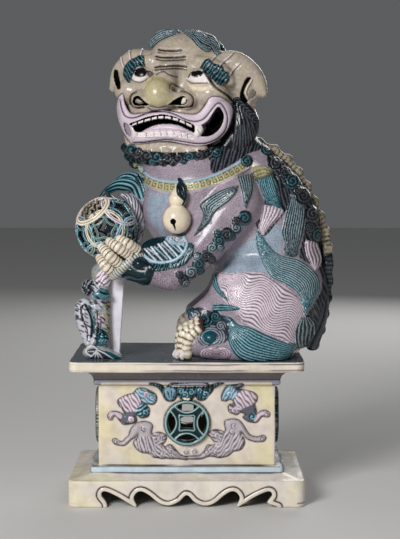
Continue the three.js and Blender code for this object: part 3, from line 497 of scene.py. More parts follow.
# A drawing that is laid on the clay from one side: how far each place stands out, its glaze, how much it
# shows as a ridge (up to 1) or a groove (down to -1), and how strongly it is stippled.
class Sheet:
    def __init__(self, low, high, step):
        self.low, self.step = np.array(low, float), step
        self.axes = [np.arange(a, b, step) for a, b in zip(low, high)]
        self.height, self.line, self.dots = np.zeros((3, len(self.axes[0]), len(self.axes[1])))
        self.kind = np.full(self.height.shape, -1)

    # The part of the drawing near a line, and where its places are.
    def near(self, line, margin):
        first = np.maximum(0, (line.min(0) - margin - self.low) / self.step).astype(int)
        last = np.maximum(0, (line.max(0) + margin - self.low) / self.step).astype(int) + 1
        window = tuple(slice(a, b) for a, b in zip(first, last))
        return window, *self.grid(window)

    def grid(self, window=(slice(None), slice(None))):
        return self.axes[0][window[0]][:, None], self.axes[1][window[1]][None, :]

    # How far along a path each place near it is, as a share of its length, and how far to the left of it.
    def follow(self, path, margin):
        line = spline(path, 1.5)
        window, u, v = self.near(line, margin)
        steps = np.linalg.norm(np.diff(line, axis=0), axis=1)
        nearest = np.full(np.broadcast(u, v).shape, 1e9)
        along, left = np.zeros(nearest.shape), np.zeros(nearest.shape)
        for (a0, a1), (b0, b1), before, length in zip(line[:-1], line[1:], np.cumsum(steps) - steps, steps):
            d0, d1 = (b0 - a0) / length, (b1 - a1) / length
            t = np.clip((u - a0) * d0 + (v - a1) * d1, 0, length)
            off = np.hypot(u - a0 - t * d0, v - a1 - t * d1)
            closer = off < nearest
            nearest = np.where(closer, off, nearest)
            along = np.where(closer, before + t, along)
            left = np.where(closer, (v - a1) * d0 - (u - a0) * d1, left)
        return window, along / steps.sum(), np.copysign(nearest, left)

    # How deep inside a closed outline each place is.
    def depth(self, outline, margin=1.0):
        line = spline(list(outline) + [outline[0]], 1.5)
        window, u, v = self.near(line, margin)
        off = distance(line, u, v)
        inside = np.zeros(off.shape, bool)
        for (a0, a1), (b0, b1) in zip(line[:-1], line[1:]):
            inside ^= ((a1 > v) != (b1 > v)) & (u < a0 + (v - a1) * (b0 - a0) / (b1 - a1 or 1e-12))
        return window, np.where(inside, off, -off)

    def put(self, window, where, glaze=None, line=None, height=None, dots=0.0):
        if glaze is not None:
            self.kind[window][where] = KINDS.index(glaze)
            self.dots[window][where] = dots
            if line is None:
                self.line[window][where] = 0
        for field, value in ((self.line, line), (self.height, height)):
            if value is not None:
                field[window][where] = np.broadcast_to(value, where.shape)[where]

    # Glazes what is inside an outline and raises it.
    def patch(self, outline, glaze, rise=0.0, edge=1.5, line=None, dots=0.0):
        window, depth = self.depth(outline)
        self.put(window, depth > 0, glaze, line, self.height[window] + rise * rounded(depth, edge), dots)

    # Brings what is inside an outline to one level, with a crowned middle.
    def level(self, outline, glaze, height, crown=0.0, edge=2.0, line=None):
        window, depth = self.depth(outline)
        self.put(window, depth > 0, glaze, line, height + crown * rounded(depth, edge))

    # A round ridge or groove along a path. Without a glaze of its own it shades what is there.
    def stroke(self, path, width, glaze=None, rise=0.0, line=0.0):
        window, _, off = self.follow(path, width / 2)
        full = np.clip(1 - (2 * off / width) ** 2, 0, 1)
        self.height[window] += rise * full
        mixed = self.line[window] * (1 - full) + line * full
        self.put(window, full > 0, None, mixed)
        if glaze is not None:
            self.put(window, full > 0.3, glaze, mixed)

    # A lock of hair along a path, with so many strands across it.
    def lock(self, path, width, strands, glaze, rise, tip):
        window, along, off = self.follow(path, width / 2)
        half = width / 2 * (tip + (1 - tip) * np.sin(math.pi * np.clip(0.14 + 0.84 * along, 0, 1)) ** 0.7)
        across = off / half
        crown = np.sqrt(np.clip(1 - across**2, 0, 1))
        strand = strands_of(math.pi * strands * (across / 2))
        height = rise * crown + 0.55 * (strand - 1) * np.minimum(1, 3 * crown)
        line = np.where(crown > 0.3, strand_line(strand), -0.9)
        above = (abs(across) < 1) & (height > self.height[window] - 1.2)
        self.put(window, above, glaze, line, np.maximum(height, self.height[window] * 0.4))

    # A curl: a low round boss with a groove winding out of its middle.
    def curl(self, centre, radius, glaze, rise, turns, hand=1):
        centre = np.array(centre, float)
        window, u, v = self.near(np.array([centre]), radius)
        away = np.hypot(u - centre[0], v - centre[1])
        angle = hand * np.arctan2(v - centre[1], u - centre[0])
        wind = strands_of(0.5 * angle + math.pi * turns * away / radius)
        full = np.sqrt(np.clip(1 - (away / radius) ** 2, 0, 1))
        line = np.where(full > 0.35, strand_line(wind, -0.9), -0.9)
        self.put(window, away < radius, glaze, line, self.height[window] + rise * full + 0.5 * (wind - 1))

    # Strands that run between two edges, each from the same end, and fan out or draw in with them. They
    # bend in waves of this height, length and slope.
    def ribbon(self, one, other, strands, glaze, rise, hump=0.5, wave=(0.0, 1.0, 0.0)):
        window, depth = self.depth(list(one) + list(other)[::-1])
        u, v = self.grid(window)
        first, second = (distance(spline(edge, 2.0), u, v) for edge in (one, other))
        share = first / (first + second + 1e-6)
        swell = np.clip(4 * share * (1 - share), 0, 1)
        bend = wave[0] * np.sin((u + wave[2] * v) / wave[1] * 2 * math.pi) * swell
        strand = abs(np.cos(math.pi * strands * (share + bend / (first + second + 1e-6))))
        line = 2.6 * strand - 1.5 if glaze == "lilac" else strand_line(strand)
        crown = (1 - hump) * np.clip(depth / 2, 0, 1) + hump * np.sqrt(swell)
        height = self.height[window] * 0.4 + rise * crown + 0.8 * (strand - 1)
        self.put(window, depth > 0, glaze, line, height)

    # Strands that lie side by side across an outline, at an angle in degrees.
    def comb(self, outline, glaze, pitch, angle, rise, edge=2.5):
        window, depth = self.depth(outline)
        u, v = self.grid(window)
        turn = math.radians(angle)
        across = v * math.cos(turn) - u * math.sin(turn) + 0.5 * np.sin(u * 0.8)
        strand = strands_of(math.pi * across / pitch)
        height = self.height[window] + rise * np.sqrt(rounded(depth, edge)) + 0.9 * (strand - 1)
        self.put(window, depth > 0, glaze, strand_line(strand), height)

    # A field of the drawing, such as its heights, at any place.
    def read(self, field, u, v):
        i = np.clip((u - self.low[0]) / self.step, 0, field.shape[0] - 1.001)
        j = np.clip((v - self.low[1]) / self.step, 0, field.shape[1] - 1.001)
        a, b = i.astype(int), j.astype(int)
        s, t = i - a, j - b
        low = field[a, b] * (1 - s) + field[a + 1, b] * s
        return low * (1 - t) + (field[a, b + 1] * (1 - s) + field[a + 1, b + 1] * s) * t

    def kinds(self, u, v):
        i = np.round((u - self.low[0]) / self.step).astype(int)
        j = np.round((v - self.low[1]) / self.step).astype(int)
        wide, tall = self.kind.shape
        known = (i >= 0) & (j >= 0) & (i < wide) & (j < tall)
        return np.where(known, self.kind[np.clip(i, 0, wide - 1), np.clip(j, 0, tall - 1)], -1)


# The lion's forms

def torso(clay):
    clay.add(lump([12.8, -5, 146], [57, 48, 52]))
    clay.add(lump([76, 0, 122], [57, 48, 66]), 16)
    clay.add(lump([84, 0, 58], [58, 54, 62]), 16)
    clay.add(limb([[14, 0, 200], [42, 0, 186], [68, 0, 160]], [36, 40, 42]), 14)
    clay.add(limb([[-5, -8, 202], [14, -5, 170]], [42, 48]), 10)


def hind_legs(clay):
    for side in (NEAR, FAR):
        clay.add(lump([72, side * 37, 50], [53, 33, 50]), 6)
        clay.add(lump([40, side * 42, 18], [34, 26, 18]), 5)
        clay.add(lump([64, side * 46, 16], [44, 27, 24]), 6)
        clay.add(limb([[26, side * 34, 50], [8, side * 36, 38]], [13, 10]), 4)
        clay.add(limb([[44, side * 50, 14], [9, side * 50, 17]], [15, 15.5]), 5)


def hind_toes(clay):
    for side in (NEAR, FAR):
        for x, across, top in ((0, 63, 30), (-5, 56.5, 33), (-7, 49.5, 35), (-6, 42.5, 34), (-2, 36, 32)):
            y = side * across
            toe = [[13, y, top + 2], [x + 3, y * 1.01, top - 7], [x, y, 13], [x + 1, y, 5]]
            claw = [[x - 2, y, 8], [x - 5, y, 4], [x - 4, y, 1.5]]
            clay.add(ringed(toe, [4, 5, 5, 4.4], 5.5), 0.8, "cream", 0.6)
            clay.add(tube(claw, [2.8, 2.4, 1.6]), 0.4, "tooth")


# What is drawn on the body: places are on an upright plane through the near haunch, as seen from where the
# photograph was taken
HAIR_PLANE = -50.0
BODY_STEP = 0.42

CHEST = [
    (-45, 164.5), (-30.5, 161), (-18, 160), (-20, 149), (-24, 141), (-24, 130), (-20, 122), (-24, 119),
    (-37.5, 137), (-43, 149),
]
FLANK = [
    (65.5, 120.5), (69, 116.5), (71, 103), (76.5, 92), (79, 85.5), (74, 84), (65.5, 85.5), (50.5, 84),
    (33, 84), (35, 93.5), (46.5, 105.5), (57.5, 113.5),
]
FLANK_TOP = [(72, 118), (80, 124), (88, 131), (93, 124), (92, 112), (90, 103), (82, 106), (76, 114)]
# These three outlines are glazed near black with fine strands over the back, among the shoulder's locks and
# on the neck behind the jaw: dark hair in part, and painted shade
BACK_SHADE = [
    (96, 160), (109, 157), (115, 138), (113, 120), (109, 101), (114, 95), (128, 87), (131, 68), (120, 51),
    (114, 43), (108, 8), (150, 2), (152, 171), (102, 200), (79.5, 200), (79.5, 184), (90, 170),
]
SHOULDER_SHADE = [
    (62, 181), (64.5, 168), (60, 150), (65, 135), (72, 121), (78, 121), (86, 131), (94, 141), (101, 152),
    (98, 162), (92, 168), (86, 177), (80, 185),
]
NECK_SHADE = [(18, 204), (22, 192), (24, 181), (31, 182), (47, 190.5), (58, 198.5), (72, 204), (76, 216),
              (16, 216)]

# The wavy field on the haunch, as its two edges
HAUNCH_FIELD = (
    [(29, 85.5), (42.5, 83.5), (57.5, 84.5), (72.5, 83.5), (84.5, 76.5), (98, 68.5), (110.5, 58),
     (118, 50)],
    [(30.5, 70.5), (34.5, 59.5), (41, 51.5), (48, 44.5), (53.5, 36.5), (64.5, 31), (79, 23.5), (94, 17.5),
     (106.5, 12.5)],
)

# Each lock as its two edges, the number of its strands, its glaze and how far it stands out
LOCKS = (
    ([(115.5, 116), (114.5, 110.5), (116.5, 99), (124.5, 85.5)],
     [(128.5, 111.5), (133, 100.5), (131.5, 92.5), (124.5, 85.5)], 5, "lilac", 2.5),
    ([(102, 160.5), (98.5, 150.5), (94.5, 136.5), (92, 123), (94.5, 113), (94.5, 101.5)],
     [(109, 162.5), (114.5, 152), (115, 138), (112.5, 121.5), (109, 110.5), (106.5, 100)], 9, "slate", 3),
    ([(73, 150.5), (71.5, 136.5), (69.5, 125.5), (74.5, 120)],
     [(93, 145.5), (88.5, 136.5), (81.5, 129), (74.5, 120)], 6, "lilac", 3),
    ([(67.5, 177), (69.5, 163), (77, 152), (93, 144.5)],
     [(81.5, 181), (86, 168.5), (90, 154.5), (93, 144.5)], 9, "teal", 4.5),
    ([(22, 81), (25.5, 70.5), (30.5, 63.5), (38.5, 57)], [(29, 82.5), (31, 71.5), (36, 63.5), (41, 57)],
     3, "teal", 1.5),
    ([(25, 52.5), (33, 53.5), (42.5, 52.5), (50.5, 50)], [(25, 46), (33, 46), (42.5, 46.5), (50.5, 47.5)],
     3, "teal", 1.5),
    # The long S-shaped lock, in a paler teal: partly its own white lines, partly a painted highlight on its
    # middle
    ([(67.5, 125.5), (67, 114.5), (69.5, 103.5), (75, 89.5), (83, 78.5), (95, 73), (106.5, 65), (111.5, 56),
      (114, 45)],
     [(67.5, 125.5), (73.5, 119.5), (80.5, 109.5), (89, 102), (99.5, 99), (109, 96.5), (120, 89.5),
      (128.5, 79), (129, 66), (125, 55), (116, 43.5)], 13, "foam", 4),
    ([(105.5, 10.5), (101, 5), (96, -3)], [(115.5, 10.5), (113.5, 3.5), (106.5, -4)], 4, "lilac", 2),
    ([(111, 40), (106.5, 31), (105, 21.5), (107, 11)],
     [(120, 41), (126.5, 34.5), (127.5, 23), (123.5, 10.5)], 6, "slate", 3.5),
    ([(30.5, 43), (34, 38), (38.5, 24), (42.5, 10.5), (50.5, 0), (65.5, -5.5), (84.5, -7.5), (95.5, -5.5)],
     [(30.5, 43), (42.5, 40.5), (50.5, 33.5), (63, 30.5), (79, 23), (94, 16.5), (106.5, 12.5)],
     12, "teal", 4.5),
)

# Each curl as its place and radius
CURLS = (
    (78, 204, 7), (86, 190, 8), (95, 181, 6.5), (102, 173, 8.5), (113, 158.5, 8.5), (122, 141, 8.5),
    (128, 121, 8.5), (119, 128, 5), (107, 164, 5),
)
FOOT = [(1, 47), (12, 50), (30, 44), (38, 40), (41, 28), (38, 16), (14, 13), (8, 24)]
FOOT_CURLS = ((17, 38, 8), (7, 42, 6), (28, 41, 5.5), (9, 33, 5), (3, 47, 4.5), (33, 32, 5), (13, 29, 4))
SHOULDER_LOCKS = (
    ([(50, 168.5), (38.5, 166), (29, 162), (18, 155), (12, 149), (16, 141), (13.5, 132.5), (6.5, 118.5)],
     [(50, 168.5), (48, 161), (41, 153), (30.5, 145), (25.5, 139.5), (22, 132.5), (15, 125.5),
      (6.5, 118.5)], 7, "slate", 3.5),
    ([(48.5, 177), (52, 166), (54.5, 154.5), (57, 144.5)],
     [(63, 179), (64, 164.5), (60.5, 153.5), (57, 144.5)], 6, "slate", 2.5),
)
ARM_CURLS = (
    (56, 137, 7.5), (48, 127.5, 6), (39, 121, 7), (31, 115, 6), (25, 108, 5.5), (18.5, 100, 6),
    (11.5, 92, 6.5), (4, 84, 6), (-3, 77, 5.5), (44, 119, 4), (33, 108, 4), (24, 97, 4.5), (14, 85, 4),
    (0, 72, 4.5), (48, 134, 4.5), (30, 122, 4), (10, 100, 4), (-7, 82, 4),
)
FOREARM = [
    (-32, 86), (-17, 95), (-2, 96), (8, 112), (22, 122), (36, 118), (28, 104), (13, 92), (-2, 74),
    (-10, 69), (-26, 66), (-37, 70),
]
WRIST = [(-66, 92), (-57, 100), (-47, 102), (-37.5, 95), (-31.5, 85.5), (-37, 72), (-48.5, 67), (-66, 67)]
FUR_BAND = [
    (-37.5, 93.5), (-20, 94), (-8, 97), (-1, 105), (2, 113), (7, 110), (5, 99), (-4, 90), (-13, 87.5),
    (-24, 85.5), (-33, 85),
]
FIN = [
    (-47, 110.5), (-37.5, 108.5), (-26.5, 112.5), (-20, 116.5), (-18, 122), (-10.5, 122), (-3, 120),
    (0.5, 113.5), (-2, 105), (-10.5, 96.5), (-20, 93.5), (-29.5, 94), (-37.5, 97.5), (-44, 104),
]
FIN_RIBS = (
    ((-41, 107), (-30, 96)), ((-34.5, 108.5), (-23, 95)), ((-27.5, 111.5), (-15.5, 97)),
    ((-21.5, 114), (-9, 100)), ((-15, 117), (-4.5, 105)), ((-11, 120), (-3, 112)),
)
FIN_RIM = [(-47, 110), (-37.5, 97.5), (-25, 94), (-10.5, 97), (-2, 105.5), (0, 113.5), (-3, 119)]


# Where a place is seen on that plane.
def at_plane(x, y, z):
    share = (HAIR_PLANE - EYE[1]) / (y - EYE[1])
    return EYE[0] + (x - EYE[0]) * share, EYE[2] + (z - EYE[2]) * share


# How a drawing lies on what faces the front: none of it behind this depth, and all of it a little before.
def from_front(behind, soft):
    return lambda x, y, z: (*at_plane(x, y, z), np.clip((behind - y) / soft, 0, 1))


# Curls one after another, each winding the other way from the one before and glazed in turn.
def row_of_curls(sheet, curls, glazes, rise, turns):
    for n, (u, v, radius) in enumerate(curls):
        sheet.curl((u, v), radius, glazes[n % len(glazes)], rise, turns, 1 if n % 2 else -1)


def body_sheet():
    sheet = Sheet((-60, -12), (150, 222), BODY_STEP)
    for outline in (CHEST, FLANK, FLANK_TOP):
        sheet.patch(outline, "blue", dots=1.0)
    # Painted shade, with dark hair in part: near black strands over the back, the shoulder and the neck
    # behind the jaw
    sheet.comb(BACK_SHADE, "soot", 3.6, 112, 0.2)
    sheet.comb(SHOULDER_SHADE, "soot", 3.2, 104, 0.2)
    sheet.comb(NECK_SHADE, "soot", 3.4, 75, 0.2)
    sheet.ribbon(*HAUNCH_FIELD, 17, "lilac", 1.5, 0.1, (5.5, 37, -0.45))
    for lock in LOCKS:
        sheet.ribbon(*lock)
    row_of_curls(sheet, CURLS, ("deep", "soot", "soot"), 2.5, 2.6)
    foot_marks(sheet)
    return sheet


# The hind foot: a boss in rings, curls above them and a flat whorl below.
def foot_marks(sheet):
    sheet.patch(FOOT, "smoke", 0.5, line=-0.4)
    for radius in (13.5, 11, 8.5):
        sheet.stroke(oval((23, 21), radius, 0.82 * radius, np.arange(-5, 18) * math.pi / 12), 1.7, "smoke",
                     0.8, 0.9)
    row_of_curls(sheet, FOOT_CURLS, ("deep", "smoke"), 1.5, 2.2)
    sheet.patch(oval((22, 21), 6.2, 6.2), "teal", 3, 5)
    for n in range(5):
        length, height = 15.5 - 2.7 * n, 6.6 - 1.5 * n
        ring = [(28 + length * np.sign(math.cos(t)) * abs(math.cos(t)) ** 0.6, 4.4 + height * math.sin(t))
                for t in np.arange(25) * math.pi / 12]
        if n == 0:
            sheet.patch(ring[:-1], "lilac", 1.2, 3)
        sheet.stroke(ring, 1.2, rise=-0.5, line=-0.9)


def arm_sheet():
    sheet = Sheet((-72, 55), (75, 190), BODY_STEP)
    # The forearm is glazed a little darker and stippled more densely: denser stipple of its own, and
    # painted shade
    sheet.patch(FOREARM, "skin", line=-0.15, dots=1.8)
    for lock in SHOULDER_LOCKS:
        sheet.ribbon(*lock)
    row_of_curls(sheet, ARM_CURLS, ("deep", "slate", "soot"), 2.2, 2.2)
    sheet.comb(FUR_BAND, "deep", 2.6, 68, 1.5)
    sheet.patch(WRIST, "deep", 1.0, 3, line=-0.3)
    for n in range(7):
        path = [(-64, 88 - 3 * n), (-56, 90 - 3.4 * n), (-48, 85 - 2.6 * n), (-40, 84 - 2 * n)]
        sheet.stroke(path, 1.5, "deep", 0.7, 0.5 if n % 3 == 0 else 0)
    sheet.patch(oval((-47, 94), 6.5, 6.5), "deep", 3.5, 6, line=0)
    return sheet


# The near side's hair is also laid on the far side, as its mirror image, and thins out towards the middle.
def body_hair(clay):
    def place(x, y, z):
        far = np.where(y > 0, np.clip((x - 4) / 10, 0, 1), 1)
        inner = np.where(x < 16, 20, 3)
        return *at_plane(x, -abs(y), z), np.clip((abs(y) - inner) / 9, 0, 1) * far

    clay.emboss(body_sheet(), (-60, -84, -8), (150, 84, 222), place)


# The arm's hair lies on the arm alone, and thins out away from it.
def arm_hair(clay, arm):
    def place(x, y, z):
        return *at_plane(x, y, z), np.clip((16 - arm.at(x, y, z)) / 5, 0, 1)

    clay.emboss(arm_sheet(), arm.low - 4, arm.high + 12, place)


# The near foreleg's paw is added apart, over the hair of the arm.
def near_foreleg(clay):
    path = [[48, -40, 152], [18, -50, 112], [-14, -56, 82], [-36, -57, 86], [-52, -54, 90]]
    arm = limb(path, [27, 20, 16, 14, 13])
    clay.add(arm, 7, "skin", 1.5)
    clay.add(lump([-59, -51, 94], [14, 13, 13]), 4, "deep", 1)
    arm_hair(clay, arm)


def near_paw(clay):
    for toe in (
        [[-47, -60, 106], [-56, -66, 112.5], [-64, -62, 117]],
        [[-54.5, -63, 101.5], [-64.5, -69, 109], [-74, -64, 115]],
        [[-63, -63, 92], [-73, -68.5, 101], [-81.5, -62, 109]],
        [[-71, -58, 85], [-78, -61, 91], [-84, -55, 98.5]],
    ):
        clay.add(ringed(toe, [4.8, 5.2, 4.2], 3.4), 0.4, "cream", 0.3)
    cuff = [[-43, -59, 102], [-51, -64, 98], [-60, -65, 90.5], [-68, -62, 83], [-73, -57, 77]]
    clay.add(ringed(cuff, [3, 3.8, 4.2, 4.2, 3.2], 2.6), 0.4, "cub", 0.2)


def far_foreleg(clay):
    clay.add(limb([[-8, 26, 165], [-38, 26, 158], [-54, 18, 148], [-66, 6, 142]], [27, 19, 13, 10]), 6)
    clay.add(tube([[-62, 4, 144], [-74, -4, 151], [-80, -14, 157]], [7, 5, 4]), 2, "smoke")
    clay.add(tube([[-64, 8, 136], [-76, 4, 128], [-84, -2, 118]], [7, 5, 4]), 2, "smoke")
    clay.add(lump([-52, 10, 190], [7, 8, 6]), 1.5, "deep")


# Flames of hair and a frill at the far paw, which rests behind the ball.
def far_flames(clay):
    for path, radii, turns in (
        ([[-42, 12, 142], [-46, 12, 156], [-54, 10, 167], [-68, 4, 168], [-80, -3, 162], [-87, -6, 155]],
         [5, 6.5, 6.5, 6, 4, 1.6], 0),
        ([[-42, 16, 164], [-52, 18, 174], [-64, 14, 174], [-74, 8, 166]], [6, 6.5, 5.5, 2], 1),
        ([[-50, 8, 176], [-44, 6, 168], [-40, 2, 156], [-42, -2, 146]], [3, 4.5, 4, 1.6], 2),
    ):
        clay.add(bundle(path, radii, turns), 0.8, "teal")
    frill = [[-66, 2, 158], [-57, 1, 154], [-51, -3, 145], [-47.5, -9, 133], [-47.5, -16, 122],
             [-50, -23, 112]]
    clay.add(bundle(frill, [3, 4.8, 4.4, 5, 4.4, 5], 0, 7), 0.8, "pearl")
    lumps = (([-53, -25, 113], [3, 3.4, 6]), ([-47, -22, 114], [3, 3.4, 6]), ([-44.5, -15, 127], [3, 4, 5]))
    for at, radii in lumps:
        clay.add(lump(at, radii), 0.8, "pearl")


# The head

HEAD_LOW = np.array(HEAD_CENTRE) - (96, 66, 84)
HEAD_HIGH = np.array(HEAD_CENTRE) + (96, 64, 76)
HEAD_TURN = Matrix.Identity(4)
for degrees, axis in ((HEAD_YAW, "Z"), (HEAD_PITCH, "X"), (HEAD_ROLL, "Y")):
    HEAD_TURN = HEAD_TURN @ Matrix.Rotation(math.radians(degrees), 4, axis)
HEAD = Matrix.Translation(HEAD_CENTRE) @ HEAD_TURN
FROM_HEAD = np.linalg.inv(np.array(HEAD))


# How far to the viewer's right, forward and up from the head's middle a place is.
def on_head(x, y, z):
    right, back, up = moved(FROM_HEAD, x, y, z)
    return right, -back, up


# A form on the head, whose places are given in that way. A lump has one place.
def of_head(make, points, radii):
    places = [[right, -forward, up] for right, forward, up in points]
    return placed(make(places[0] if make is lump else places, radii), HEAD)


# The face as seen from where the photograph was taken, on an upright plane through the middle of the head.
def seen(x, y, z):
    share = (HEAD_CENTRE[1] - EYE[1]) / (y - EYE[1])
    return EYE[0] + (x - EYE[0]) * share - HEAD_CENTRE[0], EYE[2] + (z - EYE[2]) * share - HEAD_CENTRE[2]


# What is drawn on the face: places are on that plane, from the middle of the head
LIP_OUTLINE = [
    (-52.9, 3.5), (-56.9, -0.5), (-59.1, -9.7), (-57.7, -20.9), (-53.8, -32.1), (-47, -43), (-42.2, -46.4),
    (-29.3, -45.8), (-17.2, -44.2), (-5.1, -44.2), (9.4, -47), (23.2, -48.3), (35.3, -45.9), (45.7, -39.3),
    (53, -28.9), (56.8, -14.5), (54.5, -7.7), (48.1, -1.7), (39.2, 0.5), (33.2, -0.9), (29.6, -6.5),
    (24, -13.9), (17.5, -16.7), (5.4, -15.3), (-6.6, -13.4), (-14.7, -12.7), (-27.6, -14.9), (-39.7, -16.2),
    (-44.9, -14.9), (-48.9, -8.1), (-51, -0.1),
]
LIP_LINE = [
    (-55.1, -3.3), (-53.3, -12.1), (-50.1, -18.6), (-43.7, -20.7), (-36.4, -19.1), (-26.8, -15.6),
    (-17.1, -14.5), (-8.2, -14.8), (0.6, -17.7), (9.5, -22.1), (16.7, -23.9), (24, -23.3), (29.6, -19.7),
    (36, -11.7), (40.9, -6.5), (45.3, -7.3), (49.7, -14.5), (51.2, -22.5), (48.5, -32.9), (40.9, -40.9),
    (31.2, -45.1), (21.5, -45.9), (9.4, -44.3), (-6.7, -42), (-18, -42.6), (-30.9, -44.5), (-41.4, -45.1),
]
GUM_EDGE = [
    (-46.5, -26.5), (-37.3, -22.7), (-28.4, -19.4), (-20.3, -17.8), (-11.5, -17.5), (-2.6, -19),
    (5.4, -22.2), (12.7, -25.7), (19.9, -27.1), (26.4, -25.9), (32, -21), (36.8, -14.1), (40.9, -9.4),
    (43.7, -9.4),
]
MOUTH = [
    (-46, -26.5), (-37.3, -23.3), (-28.4, -19.9), (-19.5, -18.1), (-11.5, -17.7), (-2.6, -19.3),
    (5.4, -22.3), (17.5, -27.7), (17.9, -34.9), (11.9, -32), (4.6, -28.5), (-3.4, -26.7), (-11.5, -26.3),
    (-21.2, -27.9), (-28.4, -30.9), (-34.9, -34.5), (-40.1, -33.5), (-42, -29.7),
]
UPPER_TEETH = [
    (-44.1, -27.9), (-38.1, -25.5), (-31.6, -23.4), (-24.4, -21.4), (-17.9, -20), (-11.5, -19.7),
    (-3.8, -20.7), (3, -22.9), (9.5, -25.7), (16.3, -29.1),
]
TONGUE = [
    (-33.5, -34.2), (-28.4, -31.1), (-21.2, -28.1), (-11.5, -26.3), (-3.4, -26.7), (5.4, -28.9),
    (11.9, -32.1), (16.5, -34.8), (7.8, -35), (-3.4, -34.5), (-17.9, -34.3), (-26.8, -34.9),
]
LOWER_TEETH = [
    (-38.9, -36.1), (-29.6, -35.7), (-22, -35.2), (-15.1, -35), (-9.1, -34.8), (-2.2, -35.3), (5, -36.3),
    (10.7, -37.3), (17.5, -38.5),
]
MOUTH_CORNER = [
    (25.6, -27.7), (31.2, -24.1), (36, -17.3), (40.9, -10.3), (44.5, -11.9), (47.2, -18.5), (45.7, -26.5),
    (40.9, -33.7), (33.6, -38.1), (25.6, -38.7), (24.4, -36.1), (27.3, -32.1),
]
LEFT_CORNER = [
    (-51.8, -24.9), (-47.7, -26.7), (-45.7, -30.5), (-44.2, -36.1), (-45.8, -39.3), (-49, -36.1),
    (-51, -30.5),
]
RIGHT_FANG = [(18.7, -28.1), (22.8, -28.7), (26.8, -30.5), (27, -34.1), (23.6, -39.3), (21.1, -40.5),
              (18.5, -38.1)]
NOSTRILS = (
    [(-42.4, -4.5), (-41.4, -0.5), (-37.8, 1.1), (-34.4, -1), (-30.4, -5), (-26.3, -7.8), (-37.2, -8.6),
     (-41.4, -7.3)],
    [(-7.4, -7.7), (-1.8, -3.3), (4.7, 0.3), (9.1, 0.3), (11.5, -3.3), (9.5, -7.1), (5, -8.2), (-1, -7.7)],
)
NOSE = [
    (-28.6, 19.4), (-18, 22), (-8.4, 17), (-4.6, 11.7), (-3.6, 5), (-1.7, -0.8), (-4.6, -5.1), (-10.8, -9),
    (-20.4, -8.5), (-28.6, -5.1), (-32.9, 0.2), (-32.9, 7.4), (-31, 14.6),
]
WINGS = (
    [(-38.8, 5.1), (-43.6, 1.5), (-44.8, -3.3), (-43.3, -8.5), (-38, -10.5), (-30.8, -9.5)],
    [(5.5, 5.5), (11.9, 3.8), (16.3, 0.3), (17.4, -4.5), (15.1, -8.9), (9.5, -10.1), (3, -9.5)],
)
NOSE_FOLDS = (
    [(-30.8, -8.2), (-24.3, -9), (-17.1, -10.5), (-8.2, -9), (-0.2, -8.6)],
    [(-19.2, 22), (-15.4, 24.2), (-11.1, 24.7), (-7.2, 22.2), (-2.5, 20.1), (1.8, 19.4)],
    [(-5.8, 8), (-6.3, 10.4), (-3.9, 12.8), (0.9, 10.4), (7.5, 7.1)],
)
EYES = (
    [(-44, 19.4), (-42.1, 23.2), (-39.2, 27.5), (-34.4, 29.2), (-30.1, 28.2), (-27.5, 24.1), (-28, 19.9),
     (-31.1, 16.3), (-37.3, 14.8), (-41.6, 16.2)],
    [(11.7, 17.2), (12.9, 21.5), (16.3, 25.4), (21.9, 26.6), (27, 25.7), (30.4, 21.5), (33.8, 14.2),
     (28.1, 13.8), (20.8, 13.5), (15.1, 14.6)],
)
PUPILS = (((-35.2, 24.4), 7, 5.1), ((20.2, 23.1), 6.8, 3.7))
LIDS = (
    [(-43.3, 21.3), (-41.1, 25.6), (-37.8, 28.6), (-33.9, 29.6), (-30.1, 28.5), (-27.8, 26), (-23.9, 25.8)],
    [(12.6, 20.3), (14.6, 24.3), (18.5, 26.2), (23, 26.8), (27, 25.7)],
)
UNDER_EYES = (
    [(-43.3, 17), (-39.7, 14.9), (-35.4, 14.3), (-31.1, 15.5), (-27.8, 18.2), (-24.4, 20.3)],
    [(10.9, 16.7), (14.3, 14.3), (17.4, 13.3), (22.5, 13.5), (28.7, 13.6), (33.8, 13.9)],
)
TEAR_BAG = [(10.6, 14.2), (16.8, 12.5), (24.7, 12.9), (33.8, 12.2), (36.1, 9.1), (29.3, 6.2), (21.4, 6),
            (14.6, 7.7)]
BROWS = (
    [(-51.7, 27), (-50.2, 30.3), (-45.8, 35.7), (-40.1, 38.6), (-35.3, 40.9), (-31.4, 40), (-30.8, 35),
     (-30.4, 29.3), (-34.4, 29.7), (-38.7, 28.6), (-41.6, 24.1), (-43.8, 19.9), (-44.7, 14.7),
     (-46.9, 13.6), (-50.2, 17), (-52, 21.8)],
    [(23.3, 28.2), (25.9, 33.2), (29.3, 36.7), (33.8, 37.2), (37.2, 32.9), (42.8, 31.5), (46.2, 29.9),
     (47.9, 25.4), (51.9, 24.5), (53.3, 20.3), (51.9, 14.7), (47.4, 12.2), (42.8, 11.1), (38.3, 14.7),
     (33.8, 19.2), (29.8, 23.7)],
)
CHEEK_LINE = [(28.4, 24.8), (32.7, 18.6), (37.2, 11.9), (42.8, 6.9), (49.1, 2.6), (54.7, -2.7),
              (57.9, -6.9)]
EAR_HOLLOWS = (
    [(-60.4, 27), (-57.1, 25.6), (-56.2, 20.8), (-54.6, 13.7), (-54.4, 8.5), (-56.7, 7.3), (-58.5, 9.9),
     (-60.9, 19.9)],
    [(70.8, 19.2), (74, 18.6), (73.5, 15), (70, 10.5), (68, 4), (69.4, 0.1), (70.9, -4.4), (67.2, -5.8),
     (63.7, -2.1), (63.5, 3.5), (65.5, 10.2), (68.3, 16.4)],
)
EAR_LOBE = [(73.9, 7.4), (77.9, 6.6), (79.6, 3.5), (76.8, -0.4), (72.6, -2.1), (70.6, 1.2), (70.8, 5.2)]
EAR_EDGE = [(74.2, 16.4), (70.3, 9.7), (68.4, 4), (70.6, -1.6)]
